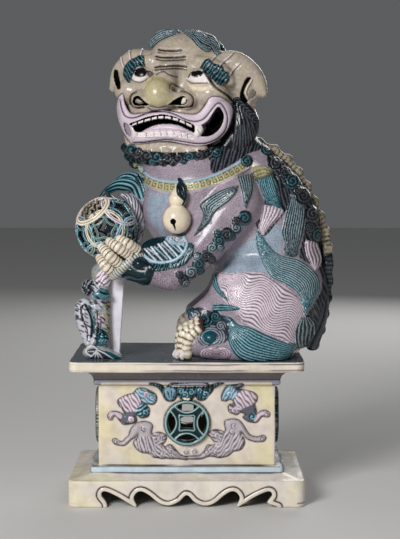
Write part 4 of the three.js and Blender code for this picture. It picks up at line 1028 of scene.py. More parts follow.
EAR_RIDGES = (
    [(-54.2, 38.8), (-53.5, 35), (-51.6, 29.6)], [(-46, 46.8), (-45.7, 42.1), (-45.1, 37.6)],
    [(-32.9, 47.8), (-34.1, 44), (-34.9, 41.6)], [(41.1, 42.8), (38.3, 39.4), (34.9, 35.9)],
    [(56.1, 43.3), (50.2, 37.7), (43.4, 31.4)], [(62.6, 32.7), (57.5, 27.6), (53, 21.7)],
)
WRINKLES = (
    [(-17, 46), (-11, 45), (-3, 44.8), (3, 45), (5.5, 45.6)],
    [(-19.5, 39.4), (-13.4, 38.3), (-3.9, 38.3), (4, 38.5), (9.5, 39.4)],
    [(-20.5, 28.8), (-13.4, 29.6), (-3.9, 30.2), (4, 30.1), (10.5, 29.4)],
)
BEARD = [
    (-44, -51.7), (-37.5, -54.9), (-29, -57.6), (-19.3, -59.2), (-8.6, -60.3), (2.1, -60.3), (12.8, -59.2),
    (22.5, -57.1), (32.1, -56), (40.7, -53.9),
]
BEARD_BAND = [
    (-68, -34), (-58, -36), (-52, -43), (-44, -50), (-30, -52.5), (-10, -54.5), (12, -54), (30, -51.5),
    (42, -48.5), (50, -46), (50, -74), (0, -74.5), (-50, -74), (-66, -60),
]
TUFTS = (
    [(-26, 51), (-19.1, 58.2), (-10.5, 62.4), (0.1, 64.5)], [(31, 47.7), (24.6, 53.9), (19.3, 60.2),
                                                             (8, 66)],
    [(41.1, 45), (37.4, 52.4), (27.8, 57.1), (19.4, 63.4)],
)
# The neck beside the jaw, glazed near black: dark hair, and painted shadow under the jaw
NECK_HAIR = [
    (50, -4), (57, -6), (64, -4), (71, -6), (80, -18), (88, -34), (97, -60), (96, -74), (20, -74),
    (30, -56), (44, -42), (50, -28),
]


# The lips stand out as one pad, whose outline is drawn as seen and whose front follows the muzzle.
def lip_pad(sheet):
    window, depth = sheet.depth(LIP_OUTLINE, 6)
    field = np.full(sheet.height.shape, -9.0)
    field[window] = depth

    def at(x, y, z):
        right, forward, up = on_head(x, y, z)
        chin = 0.0105 * np.maximum(0, -up - 20) ** 2
        round_front = 44.5 * np.clip(1 - (right / 66) ** 2, 0, 1) ** 0.75 - chin
        front = 0.75 * (forward - round_front)
        side = -sheet.read(field, *seen(x, y, z))
        soft = np.maximum(6 - abs(front - side), 0) / 6
        return np.maximum(np.maximum(front, side) + soft * soft * 1.5, 2 - forward)

    corners = np.array(HEAD_TURN.to_3x3())
    reach = abs(corners) @ np.array([70, 46, 52])
    return Form(np.array(HEAD_CENTRE) - reach, np.array(HEAD_CENTRE) + reach, at)


def face_sheet():
    sheet = Sheet((-95, -75), (100, 80), 0.4)
    sheet.kind[:] = KINDS.index("face")
    # Beside the jaw, near black with locks: dark hair, and painted shadow under the jaw
    sheet.patch(NECK_HAIR, "soot")
    sheet.patch(BEARD_BAND, "deep", line=-0.3)
    for n in range(7):
        path = [(60 + 3 * n, -4 - 3 * n), (62 + 4 * n, -25), (60 + 6 * n, -48), (54 + 8 * n, -74)]
        sheet.lock(path, 9, 3, "soot", 1.2, 0.8)
    nose(sheet)
    eyes(sheet)
    for path in WRINKLES:
        for drop, line in ((0, -1.6), (-2.6, -1.0)):
            sheet.stroke(shifted(path, 0, drop), 2.4, rise=-1.0, line=line)
        sheet.stroke(shifted(path, 0, 3), 3.2, rise=0.9, line=0.15)
    sheet.stroke(CHEEK_LINE, 2.4, rise=-2.2, line=-1)
    sheet.stroke(shifted(CHEEK_LINE, -2, -1.6), 2.6, rise=1.2, line=0.7)
    ears(sheet)
    mouth(sheet)
    for row, drop in ((1, 5.5), (0, 0)):
        for n, (u, v) in enumerate(BEARD):
            glaze = "soot" if (n + row) % 3 else "deep"
            sheet.curl((u + 5 * row, v - drop), 5.4, glaze, 1.2, 1.5, 1 if n % 2 else -1)
    for path in TUFTS:
        sheet.lock(path, 11, 6, "slate", 1.5, 0.5)
    return sheet


def nose(sheet):
    sheet.patch(NOSE, "nose", 0.8, 6)
    for path in NOSE_FOLDS:
        sheet.stroke(path, 2.0, rise=-1.0, line=-0.9)
    # The nostrils are sunk and glazed dark: painted shade inside them
    for wing, nostril in zip(WINGS, NOSTRILS):
        sheet.stroke(wing, 2.6, rise=-1.6, line=-0.9)
        sheet.stroke(nostril + nostril[:1], 3.4, rise=1.4, line=0.3)
        sheet.level(nostril, "dark", -5, edge=1)
    sheet.level([(5.5, -4.1), (7.1, -0.5), (9.9, -0.9), (10.9, -3.7), (9.1, -6.5), (5.4, -7.7)],
                "cream", -2.5, 1)
    sheet.level([(-40.5, -4.5), (-38.5, -1.5), (-35, -3), (-31, -6.6), (-37, -7)],
                "face", -2.5, 1, line=-0.2)


def eyes(sheet):
    sheet.patch(TEAR_BAG, "cream", 1.8, 4)
    for eye, lid, under, pupil in zip(EYES, LIDS, UNDER_EYES, PUPILS):
        sheet.patch(eye, "tooth", 0.6, 3)
        sheet.patch(oval(*pupil), "black", 0.3)
        sheet.stroke(lid, 3.4, "face", 1.6, 0.2)
        sheet.stroke(shifted(lid, 0, -1.1), 1.5, "black", -0.6)
        sheet.stroke(under, 1.3, rise=-0.8, line=-1)
    sheet.patch([(-28.2, 25.6), (-24.9, 26), (-21.6, 22.7), (-24, 20.3), (-27.8, 20.8)],
                "face", -1.2, line=-0.8)
    sheet.comb(BROWS[0], "deep", 3.2, -56, 2.8)
    sheet.comb(BROWS[1], "deep", 3.2, 52, 2.8)


def ears(sheet):
    for path in EAR_RIDGES:
        sheet.stroke(path, 1.6, "lip", 1.1, 0.5)
        sheet.stroke(shifted(path, 1.4, -0.8), 1.4, rise=-0.5, line=-0.8)
    # The ear hollows are sunk and glazed dark: painted shade inside them
    for hollow in EAR_HOLLOWS:
        sheet.level(hollow, "dark", -3, edge=2.5)
    sheet.level(EAR_LOBE, "face", -1, 1.2, line=-0.6)
    sheet.stroke(EAR_EDGE, 2.6, "cream", 2.2, 0.4)


def mouth(sheet):
    sheet.patch(LIP_OUTLINE, "lip")
    sheet.stroke(LIP_OUTLINE + LIP_OUTLINE[:1], 1.5, rise=-0.8, line=-0.9)
    sheet.stroke(LIP_LINE, 1.7, rise=-1.3, line=-1)
    sheet.stroke(GUM_EDGE, 2.2, rise=0.8, line=0.8)
    # The corners of the mouth are darkened and its opening glazed dark, as painted shade inside the mouth
    sheet.level(LEFT_CORNER, "lip", -1.8, line=-0.5)
    sheet.level(MOUTH_CORNER, "lip", -10, edge=1, line=-0.95)
    sheet.level([(9.25 + 0.75 * u, 0.75 * v - 6.75) for u, v in MOUTH_CORNER], "dark", -11)
    sheet.level(MOUTH, "dark", -14, edge=1)
    sheet.level(TONGUE, "lip", -6, 4, 4, 0.1)
    for row, level, low in ((UPPER_TEETH, -2.6, -1.6), (LOWER_TEETH, -2.2, -3.2)):
        for start, end in zip(row[:-1], row[1:]):
            sheet.level(tooth(start, end, low, 1.4), "tooth", level, 1.2, 1.2)
    sheet.level(RIGHT_FANG, "tooth", -0.5, 2.5, 3)
    sheet.stroke([(21.5, -32), (24.5, -37)], 0.9, rise=-0.8, line=-0.8)
    sheet.stroke([(-43.7, -30.5), (-42, -34.5), (-42, -40.1)], 3.2, "tooth", 1.2)
    sheet.stroke([(-39.7, -40.3), (-26.8, -40), (-6.7, -40.5), (7.8, -41.9), (18.3, -43.6)],
                 1.0, rise=-0.4, line=-0.5)


# A tooth's outline, between two places on the gum and from one height off it to another, in eight points.
def tooth(start, end, low, high):
    (a, b), (c, d) = start, end
    u, v, s, t = (a + c) / 2, (b + d) / 2, 0.43 * (c - a), 0.43 * (d - b)
    corners = [(u - s, v - t + high), (u + s, v + t + high), (u + s, v + t + low), (u - s, v - t + low)]
    outline = []
    for (a, b), (c, d) in zip(corners, corners[1:] + corners[:1]):
        outline += [(a, b), ((a + c) / 2, (b + d) / 2)]
    return outline


# Skull, brow, muzzle, bridge and tip of the nose, as their places, radii and how softly they join
HEAD_CORE = (
    (lump, [[0, -12, 0]], [57, 36, 50], 12),
    (lump, [[-1, -16, 36]], [36, 32, 29], 8),
    (lump, [[0, 2, -26]], [52, 31, 29], 8),
    (limb, [[0, 16, 26], [0, 29, 12]], [9, 12], 6),
    (lump, [[0, 40, -3]], [14, 13, 15], 4),
    (lump, [[-1, 37, -8]], [17, 13, 10], 4),
)
# Wings of the nose, cheeks, lower lids, eyes and brows, which are there on both sides
HEAD_SIDES = (
    (limb, [[14, 36, -6], [25, 29, -6]], [6, 9], 4),
    (lump, [[43, 12, 2]], [17, 16, 13], 7),
    (lump, [[30, 13, 5]], [14, 11, 6], 5),
    (lump, [[31, 12.5, 17]], [12, 10, 9], 3),
    (tube, [[26, 11, 34], [38, 9, 32], [50, 4, 26], [56, 0, 17]], [5, 6.5, 7, 5], 5),
)
# Ears: a folded leaf each, with its hollow facing down and out
EARS = (
    (tube, [[34, -8, 34], [56, -14, 36], [74, -20, 24], [82, -24, 10]], [12, 12, 10, 5], 3),
    (tube, [[40, -8, 26], [58, -14, 20], [70, -20, 8]], [11, 12, 9], 4),
)
HEAD_TUFTS = (
    [[24, -12, 47], [17, -10, 57], [5, -12, 64]],
    [[30, -22, 47], [22, -24, 58], [6, -26, 66]],
    [[-36, -14, 53], [-28, -14, 60], [-14, -16, 65]],
    [[-30, -26, 54], [-18, -28, 63], [-4, -30, 66]],
    [[33, -34, 44], [20, -40, 55], [0, -40, 60]],
    [[-34, -36, 44], [-20, -40, 55], [-2, -42, 58]],
)


def both_sides(clay, forms, *glaze):
    for make, points, radii, blend in forms:
        for side in (1, -1):
            mirrored = [[side * right, forward, up] for right, forward, up in points]
            clay.add(of_head(make, mirrored, radii), blend, *glaze)


def head(clay):
    for make, points, radii, blend in HEAD_CORE:
        clay.add(of_head(make, points, radii), blend)
    both_sides(clay, HEAD_SIDES)
    clay.add(of_head(tube, [[-36, 14, -52], [0, 22, -53], [36, 14, -52]], [9, 10, 9]), 3, "nose")
    for row, drop in ((0, -58), (1, -65)):
        for n in range(11 - row):
            across = (n + row / 2) / 5 - 1
            at = [48 * across, 27 - 24 * across**2 - 4 * row, drop + 5 * across**2]
            clay.add(of_head(lump, [at], [6, 7, 5.5]), 2, "deep")
    clay.add(of_head(tube, [[58, -18, -2], [62, -24, -22], [52, -20, -46]], [12, 18, 16]), 8, "deep")
    clay.add(of_head(tube, [[-56, -20, -4], [-56, -26, -24], [-46, -22, -46]], [10, 14, 14]), 8, "deep")
    both_sides(clay, EARS, "face")
    # Dark lumps in the ears' hollows: painted shade
    clay.add(of_head(lump, [[66, -26, 5]], [10, 7, 17]), 2, "dark")
    clay.add(of_head(lump, [[-57, -18, 15]], [7, 6, 14]), 2, "dark")
    for path in HEAD_TUFTS:
        clay.add(of_head(strand, path, [4, 7, 4]), 2, "teal")
    clay.add(of_head(lump, [[6, -36, -52]], [46, 21, 26]), 10, "deep")
    nape_hair(clay)
    sheet = face_sheet()
    clay.add(lip_pad(sheet), 1.5, "lip")

    def place(x, y, z):
        _, forward, _ = on_head(x, y, z)
        return *seen(x, y, z), np.clip((forward + 32) / 8, 0, 1)

    clay.emboss(sheet, HEAD_LOW, HEAD_HIGH, place)


# Hair combed down over the back of the head, in strands that wave a little.
def nape_hair(clay):
    def behind(x, y, z):
        right, forward, up = on_head(x, y, z)
        return -30 - forward, abs(np.cos(math.pi * (right + 2 * np.sin(up / 7)) / 4.2)) ** 1.2

    def at(x, y, z):
        depth, crest = behind(x, y, z)
        return np.clip(depth / 6, 0, 1) * crest

    def test(points, normals):
        depth, crest = behind(*points.T)
        return depth > 0, KINDS.index("deep"), 1.8 * crest - 1, 0.0

    clay.coats.append(test)
    clay.press(Form(HEAD_LOW, HEAD_HIGH, at), 0, lambda value, rise: value - 1.3 * rise)


# The back, the collar and what hangs on it

RIDGE = [
    [68, 0, 208], [82, 0, 202], [99, 0, 189], [114, 0, 167], [126, 0, 142], [134.5, 0, 121],
    [138.5, 0, 96], [138.5, 0, 71], [135.5, 0, 46], [130, 0, 21], [124, 0, 6],
]
# Which of its points is the last in the pale glaze, below which it is near black as painted shade, and how
# far apart its knobs are
SHADED_RIDGE_FROM = 6
KNOB_PITCH = 16


# The back, near black as dark hair and painted shade, with a bundle of hair on either side of its ridge,
# which is knobbed and finely ribbed.
def back(clay):
    for y in (-16, 16):
        path = [[122, y, 10], [130, y, 40], [131, y * 0.8, 72], [126, y * 0.6, 100]]
        clay.add(bundle(path, [9, 10, 8, 3], 0), 2, "soot")
    # Painted shade, with dark hair: the back about the ridge is glazed near black.
    clay.coat(tube(RIDGE, np.full(len(RIDGE), 15.0)), "soot", 0)
    clay.add(tube(RIDGE, np.full(len(RIDGE), 4.0)), 3)
    line = spline(RIDGE, 2.0)
    length = lengths(line)
    count = round(length[-1] / KNOB_PITCH)
    # The knobs, and the ribs after them, are near black on the ridge's lower part, as painted shade.
    for n in range(count + 1):
        at = [np.interp(length[-1] * n / count, length, line[:, i]) for i in range(3)]
        glaze = "horn" if at[2] > RIDGE[SHADED_RIDGE_FROM][2] else "soot"
        clay.add(lump([at[0] + 3.5, 0, at[2] + 1.5], [6, 5.5, 6]), 3, glaze, 1)
    for part, glaze in ((RIDGE[:SHADED_RIDGE_FROM + 1], "horn"), (RIDGE[SHADED_RIDGE_FROM:], "soot")):
        ribs = ringed([[x + 3, y, z + 0.5] for x, y, z in part], np.full(len(part), 4.2), 4.4)
        clay.add(ribs, 1.5, glaze, 1.5)


# The plane that the collar lies in, as its way up and its level, and half the collar's width
SLANT = unit(np.array([-0.114, -0.455, 0.883]))
COLLAR_LEVEL = SLANT @ np.array([-18, -55, 166.8])
COLLAR_HALF = 5.5


# The collar's plain band behind the part that is drawn.
def collar(clay):
    def off(x, y, z):
        return abs(SLANT[0] * x + SLANT[1] * y + SLANT[2] * z - COLLAR_LEVEL) - COLLAR_HALF

    band = Form([-52, -4, 120], [60, 60, 215], off)
    clay.coat(band, "collar", 0)
    clay.press(band, 0, lambda value, off: np.minimum(value, np.maximum(value - 2.4, off)))


# The collar's upper and lower edge, on the same plane as the body's hair
COLLAR = (
    [(-48.5, 192.5), (-44, 184.5), (-36, 177), (-24, 173), (-7.5, 172), (11.5, 174), (30.5, 180),
     (46.5, 188.5), (58, 196.5)],
    [(-51.5, 183), (-47, 175), (-37.5, 167), (-22, 162), (-5, 161), (13, 164), (32, 170), (50.5, 179),
     (63, 187.5)],
)
FRET = ("#######", "#.....#", "#.###.#", "#.#.#.#", "#.#...#", "#.#####", "......#")
FRET_HALF = 3.6
FRET_SQUARE = 0.85


# A key fret along a path: its squares are read from the rows of FRET.
def fret(sheet, path):
    window, along, off = sheet.follow(path, FRET_HALF)
    length = sum(math.dist(a, b) for a, b in zip(path, path[1:]))
    count = len(FRET)
    column = (along * length / FRET_SQUARE).astype(int) % count
    row = np.clip(((off + FRET_HALF) / (2 * FRET_HALF) * count).astype(int), 0, count - 1)
    drawn = np.array([[c == "#" for c in line] for line in FRET])[row, column]
    sheet.put(window, abs(off) < FRET_HALF, None, np.where(drawn, 0.7, -0.8),
              sheet.height[window] + 0.35 * drawn)


# The front of the collar and the tassel's cap.
def trim_sheet():
    sheet = Sheet((-60, 85), (95, 200), BODY_STEP)
    sheet.patch(COLLAR[0] + COLLAR[1][::-1], "collar", 2.4, 1.5)
    fret(sheet, [((a + c) / 2, (b + d) / 2) for (a, b), (c, d) in zip(*COLLAR)])
    sheet.stroke(COLLAR[0], 2.4, "sky", 0.9, 0.6)
    sheet.stroke(COLLAR[1], 2.2, "lip", 0.9, 0.3)
    sheet.patch([(61, 195.5), (72.5, 188.5), (80, 184), (81.5, 181), (67.5, 175.5), (64, 181)],
                "tooth", 3, 3)
    sheet.patch([(62.5, 186), (72, 188), (81, 185), (82, 180), (67, 174.5)], "collar", 3.6, 2, line=0.4)
    for path in ([(64, 181), (74, 184), (81, 182)], [(66, 177), (75, 180.5), (82, 179.5)]):
        sheet.stroke(path, 1.2, rise=-0.4, line=-0.8)
    sheet.curl((58, 192), 6, "deep", 3, 2)
    return sheet


def trim_and_fin(clay):
    clay.add(lump([-22, -47, 106], [23, 11, 13]), 3, "deep", 1)
    clay.emboss(trim_sheet(), (-62, -84, 120), (95, 4, 222), from_front(1, 5))
    clay.emboss(fin_sheet(), (-52, -84, 85), (8, -38, 125), from_front(-42, 6))


# The gourd-shaped bell with its straps and its slit.
def bell(clay):
    clay.add(tube([[-6, -52, 168], [-9, -56, 155]], [4, 8.5]), 2, "cream")
    clay.add(lump([-9.5, -56, 136], [13.5, 11.5, 14]), 1.5, "cream")
    for strap in (
        [[-7, -51, 174], [-3.5, -58, 167], [-1.5, -60, 158], [-4, -60, 151]],
        [[-5, -51, 172], [-8, -59.5, 167], [-6.5, -62.5, 160], [-3, -60, 154]],
    ):
        clay.add(tube(strap, [2, 2.2, 2, 1.4]), 0.6, "deep")
    # The slit is cut and its walls glazed dark: painted shade inside it
    clay.cut(lump([-13, -67.5, 134], [2.6, 4, 2.6]), 0.4, "dark", 0.3)
    clay.cut(tube([[-12.6, -67, 133], [-11.6, -66.5, 128], [-10.2, -63.5, 123.5]], [1.1, 1, 0.9]), 0.4,
             "dark", 0.3)


# The ribbed fin behind the elbow.
def fin_sheet():
    sheet = Sheet((-56, 84), (12, 126), BODY_STEP)
    sheet.patch(FIN, "deep", 1, 3, line=0.1)
    for start, end in FIN_RIBS:
        sheet.stroke([start, end], 2.2, "pearl", 1.2, 0.9)
        sheet.stroke([(start[0] + 3, start[1] + 0.6), (end[0] + 4, end[1] + 2.5)], 1.5, "sky", 0.7, 0.4)
    sheet.patch([(-21, 116), (-18, 121), (-11, 121), (-4, 119), (-2, 113), (-8, 110), (-14, 112)],
                "sky", 1, 2, line=0.2)
    for u, v, radius in ((-15, 117, 3), (-9, 116, 3.2), (-4, 115, 2.4)):
        sheet.curl((u, v), radius, "pearl", 0.8, 1.2)
    sheet.stroke(FIN_RIM, 3.2, "sky", 2.2, 0.8)
    return sheet


PROP_LEFT = -76
PROP_MIDDLE, PROP_HALF = -34.5, 6.5
PROP_TOP = 94


# The post under the paw, which widens a little towards its top.
def prop():
    def at(x, y, z):
        right = -66.3 + 0.062 * z
        across = abs(x - (right + PROP_LEFT) / 2) - (right - PROP_LEFT) / 2
        return np.maximum(across, np.maximum(abs(y - PROP_MIDDLE) - PROP_HALF, z - PROP_TOP))

    return Form([-78, -42, -5], [-58, -27, 95], at)


def prop_and_cub(clay):
    clay.add(prop(), 1, "prop", 1)
    clay.add(tube([[-82, -41, 12], [-84, -42, 40], [-84, -42, 68], [-80, -42, 90]], [9.5, 10, 10.5, 8]), 2)
    clay.add(lump([-84, -34, 82], [10, 12, 11]), 3)
    clay.add(lump([-96.5, -43, 69], [6.5, 7, 8]), 1.5)
    clay.add(lump([-84, -51, 62], [9, 5, 6]), 2)
    clay.add(tube([[-99.5, -45, 50], [-98.5, -47, 38], [-94, -48, 17]], [9.5, 10, 6]), 1.5)
    clay.add(tube([[-90, -50, 52], [-88, -52, 36], [-90, -51, 18]], [3.5, 4.5, 3.5]), 1.5)
    clay.add(tube([[-96, -50, 6], [-82, -51, 6], [-66, -50, 2.5]], [5.5, 5.5, 3]), 1.5)
    clay.add(lump([-82, -50, 19], [6.5, 6, 8.5]), 1.5)

    clay.coats.append(cub_coat)
    clay.emboss(cub_sheet(), (-114, -70, -5), (-60, -34, 95), from_front(-34, 5))


# The cub is what lies to the left of the prop, or well in front of it.
def cub_coat(points, normals):
    edge = np.where(points[:, 1] < -44, -60, -76.5)
    return points[:, 0] < edge, KINDS.index("cub"), 0.0, 0.0


# The cub's coat and sash, seen from the front.
def cub_sheet():
    sheet = Sheet((-116, -6), (-58, 97), 0.35)
    sheet.patch([(-106, 56), (-111, 49), (-110, 41), (-106, 31), (-103, 21), (-99, 12), (-89, 13),
                 (-87, 23), (-87, 35), (-89, 47), (-92, 56), (-99, 59)], "pearl", 0.8, 3, line=0.2)
    for path, width, glaze, rise, line in (
        ([(-101, 52), (-103, 47), (-101, 38), (-97.5, 28), (-96, 19)], 2.6, "smoke", -0.9, -0.9),
        ([(-102, 36), (-99.5, 30), (-97.5, 24)], 3.2, "lip", 0.4, 0.0),
        ([(-99, 53), (-95.5, 47), (-92.8, 39), (-92, 30), (-93, 21)], 2.6, "smoke", -0.9, -0.9),
        ([(-95, 51), (-91, 43), (-89.8, 34), (-90, 25)], 3.2, "jade", 0.5, -0.3),
        ([(-94.5, 31), (-95, 22), (-96.5, 14)], 2.4, "pearl", 0.8, 1.0),
        ([(-88.4, 31), (-89.2, 22), (-92, 14)], 2.2, "pearl", 0.8, 1.0),
        ([(-87, 46), (-86, 34), (-86.5, 24), (-87.5, 15)], 1.8, "smoke", -0.9, -1.0),
    ):
        sheet.stroke(path, width, glaze, rise, line)
    sheet.comb([(-102, 69), (-100, 75), (-95, 77.5), (-90.5, 75), (-89, 68), (-92, 62), (-98, 61.5)],
               "smoke", 3.2, 62, 1)
    sheet.patch([(-91, 66), (-84, 69), (-76, 66), (-74, 60), (-82, 57.5), (-90, 59.5)],
                "teal", 0.6, 2, line=0.2)
    sheet.patch([(-93, 70), (-86, 73), (-84, 70), (-89, 65)], "pearl", 0.6, 1.5, line=0.2)
    sheet.comb([(-91, 74), (-86, 84), (-80, 91), (-74, 86), (-74, 72), (-82, 71)], "lip", 3.4, 48, 0.6)
    for glaze, outline in (
        ("pearl", [(-90, 57), (-84, 58), (-80, 55), (-83, 49), (-88, 46), (-90, 51)]),
        ("horn", [(-81, 55), (-75, 56), (-74, 50), (-79, 48)]),
        ("lilac", [(-86, 42), (-81, 43), (-79, 37), (-84, 33), (-87, 37)]),
        ("collar", [(-79, 44), (-75, 45), (-75, 36), (-78, 35)]),
        ("pearl", [(-84, 33), (-79, 35), (-76, 31), (-80, 28)]),
        ("horn", [(-79, 31), (-75, 32), (-75, 24), (-78, 25)]),
    ):
        sheet.patch(outline, glaze, 0.6, 1.5, line=0)
    sheet.patch([(-88, 27), (-83, 29), (-78, 26), (-75.5, 20), (-77, 14.5), (-83, 12), (-88, 14)],
                "teal", 0.5, 2, line=0.1)
    for u, v, radius in ((-82, 22, 4.2), (-84.5, 17, 2.8), (-79, 17, 2.6)):
        sheet.curl((u, v), radius, "teal", 0.8, 1.4)
    chance = np.random.default_rng(7)
    for u, v in chance.uniform((-110, 18), (-76, 76), (150, 2)):
        sheet.stroke([(u, v), (u + 1.2, v - 1), (u + 2.4, v - 1.5)], 1.6, rise=-0.35, line=-1.1)
    cub_sash(sheet)
    return sheet


def cub_sash(sheet):
    sheet.patch([(-98, 8), (-90, 10), (-82, 8), (-74, 5), (-65, 1), (-68, -2), (-84, -3.5), (-93, -2)],
                "smoke", 0.5, 2, line=-0.2)
    sheet.patch([(-80, 8), (-72, 5), (-64, 0.5), (-70, -0.5), (-76, 3)], "teal", 0.6, 1.5, line=0)
    for u, v in ((-94, 1), (-90, -2), (-85, -3), (-80, -2.5)):
        sheet.stroke([(-88, 8), ((u - 88) / 2, (v + 8) / 2 - 0.5), (u, v)], 1.6, "pearl", 0.8, 0.9)
    sheet.stroke([(-86, 8), (-80, 5), (-74, 1), (-69, -1.5)], 1.6, "pearl", 0.8, 0.9)
    sheet.stroke([(-87, 9), (-91, 12), (-97, 10), (-98, 6), (-95, 3), (-92, 2)], 2.4, "pearl", 1.2, 0.6)


# Keeps a piece clear of the ball and of the plinth's top.
def make_room(clay):
    clay.cut(lump(BALL_CENTRE, [BALL_RADIUS + 0.9] * 3), 0.5)
    clay.cut(block([-130, -90, -40], [170, 90, 0.35], 0), 0.3)


def body_clay():
    clay = Clay([-120, -84, -8], [160, 84, 232], BODY_CELL)
    torso(clay)
    hind_legs(clay)
    body_hair(clay)
    near_foreleg(clay)
    far_foreleg(clay)
    hind_toes(clay)
    back(clay)
    collar(clay)
    trim_and_fin(clay)
    make_room(clay)
    clay.cut(block([-70, -90, 206], [52, 90, 300], 2), 1)
    return clay


# What hangs on the lion's front or holds the ball is finer than the body, and so a piece of its own.
def front_clay():
    clay = Clay([-104, -76, 78], [8, 34, 190], FRONT_CELL)
    far_flames(clay)
    bell(clay)
    near_paw(clay)
    make_room(clay)
    return clay


def head_clay():
    clay = Clay(HEAD_LOW, HEAD_HIGH, HEAD_CELL)
    head(clay)
    return clay


def cub_clay():
    clay = Clay([-112, -70, -6], [-48, -14, 108], HEAD_CELL)
    prop_and_cub(clay)
    make_room(clay)
    return clay


# The plinth

PLINTH_STEP = 0.35


# How far a place is outside the plinth's plan, where it reaches this far beyond the die.
def plan(x, y, reach):
    radius = 1.5 + 7.5 * reach / FOOT_REACH
    u, v = (abs(c) - half - reach + radius for c, half in zip((x, y), DIE_HALVES))
    return np.hypot(np.maximum(u, 0), np.maximum(v, 0)) + np.minimum(np.maximum(u, v), 0) - radius


# One course of the plinth between two heights above the ground, reaching beyond the die by so much at its
# foot and at its top, straight or hollowed.
def course(low, high, first, last, soft=0.8, hollow=False):
    lean = (high - low) / math.hypot(high - low, last - first)

    def at(x, y, z):
        share = np.clip((z + PLINTH_HEIGHT - low) / (high - low), 0, 1)
        if hollow:
            share = 1 - np.sqrt(1 - share**2)
        side = lean * plan(x, y, first + (last - first) * share) + soft
        end = abs(z + PLINTH_HEIGHT - (low + high) / 2) - (high - low) / 2 + soft
        inner = np.minimum(np.maximum(side, end), 0)
        return np.hypot(np.maximum(side, 0), np.maximum(end, 0)) + inner - soft

    half = [side + max(first, last) for side in DIE_HALVES]
    return Form([-half[0], -half[1], low - PLINTH_HEIGHT], [half[0], half[1], high - PLINTH_HEIGHT], at)


# A side of the plinth, counted from the front and turning left: how far a place is to its right and out of
# it, and the place from these.
def on_side(side, x, y):
    return ((x, -y), (y, x), (-x, y), (-y, -x))[side]


def off_side(side, u, out):
    return ((u, -out), (out, u), (-u, out), (-out, -u))[side]


# How a drawing whose middle is at a level lies on a side of the plinth: not at all nearer in than this
# distance out, and in full a little further out.
def on_wall(side, level, inner, soft):
    def place(x, y, z):
        u, out = on_side(side, x, y)
        u, out, v = np.broadcast_arrays(u, out, z - level)
        return u, v, np.clip((out - inner) / soft, 0, 1)

    return place


# What is inside an outline that is drawn on a side of the plinth, from one distance out to another.
def through(side, outlines, low, high):
    reach = max(abs(u) for outline in outlines for u, v in outline) + 3
    sheet = Sheet((-reach, -PLINTH_HEIGHT - 4), (reach, 4), 0.5)
    field = np.full(sheet.height.shape, -9.0)
    for outline in outlines:
        window, depth = sheet.depth(outline, 9)
        field[window] = np.maximum(field[window], depth)

    def at(x, y, z):
        u, out = on_side(side, x, y)
        u, out, z = np.broadcast_arrays(u, out, z)
        return np.maximum(-sheet.read(field, u, z), abs(out - (low + high) / 2) - (high - low) / 2)

    return Form(*side_box(side, reach, low, high, -PLINTH_HEIGHT - 3, 3), at)


# The corners of a box against a side of the plinth.
def side_box(side, wide, low, high, foot, top):
    spots = np.array([off_side(side, u, out) for u in (-wide, wide) for out in (low, high)])
    return (*spots.min(0), foot), (*spots.max(0), top)


def ring_of(radius, count=24):
    return oval((0, 0), radius, radius, np.arange(count) * 2 * math.pi / count)


# A path in the four positions that it takes round a coin.
def four_turns(path):
    turned = []
    for c, s in ((1, 0), (0, 1), (-1, 0), (0, -1)):
        turned.append([(c * u - s * v, s * u + c * v) for u, v in path])
    return turned


# A coin's openings, a square and a lens behind each hollow side of the frame round it.
def coin_openings(radius):
    a = 0.27 * radius
    square = [(-a, -a), (0, -a), (a, -a), (a, 0), (a, a), (0, a), (-a, a), (-a, 0)]
    across = np.linspace(-1, 1, 9)
    wide = math.radians(36)
    outer = oval((0, 0), 0.83 * radius, 0.83 * radius, across * wide)
    end, dip = outer[0][0], 0.46 * radius
    inner = [(dip + (end - dip) * a * a, 0.83 * radius * math.sin(wide * a)) for a in across[::-1]]
    return [square] + four_turns(outer + inner[1:-1])


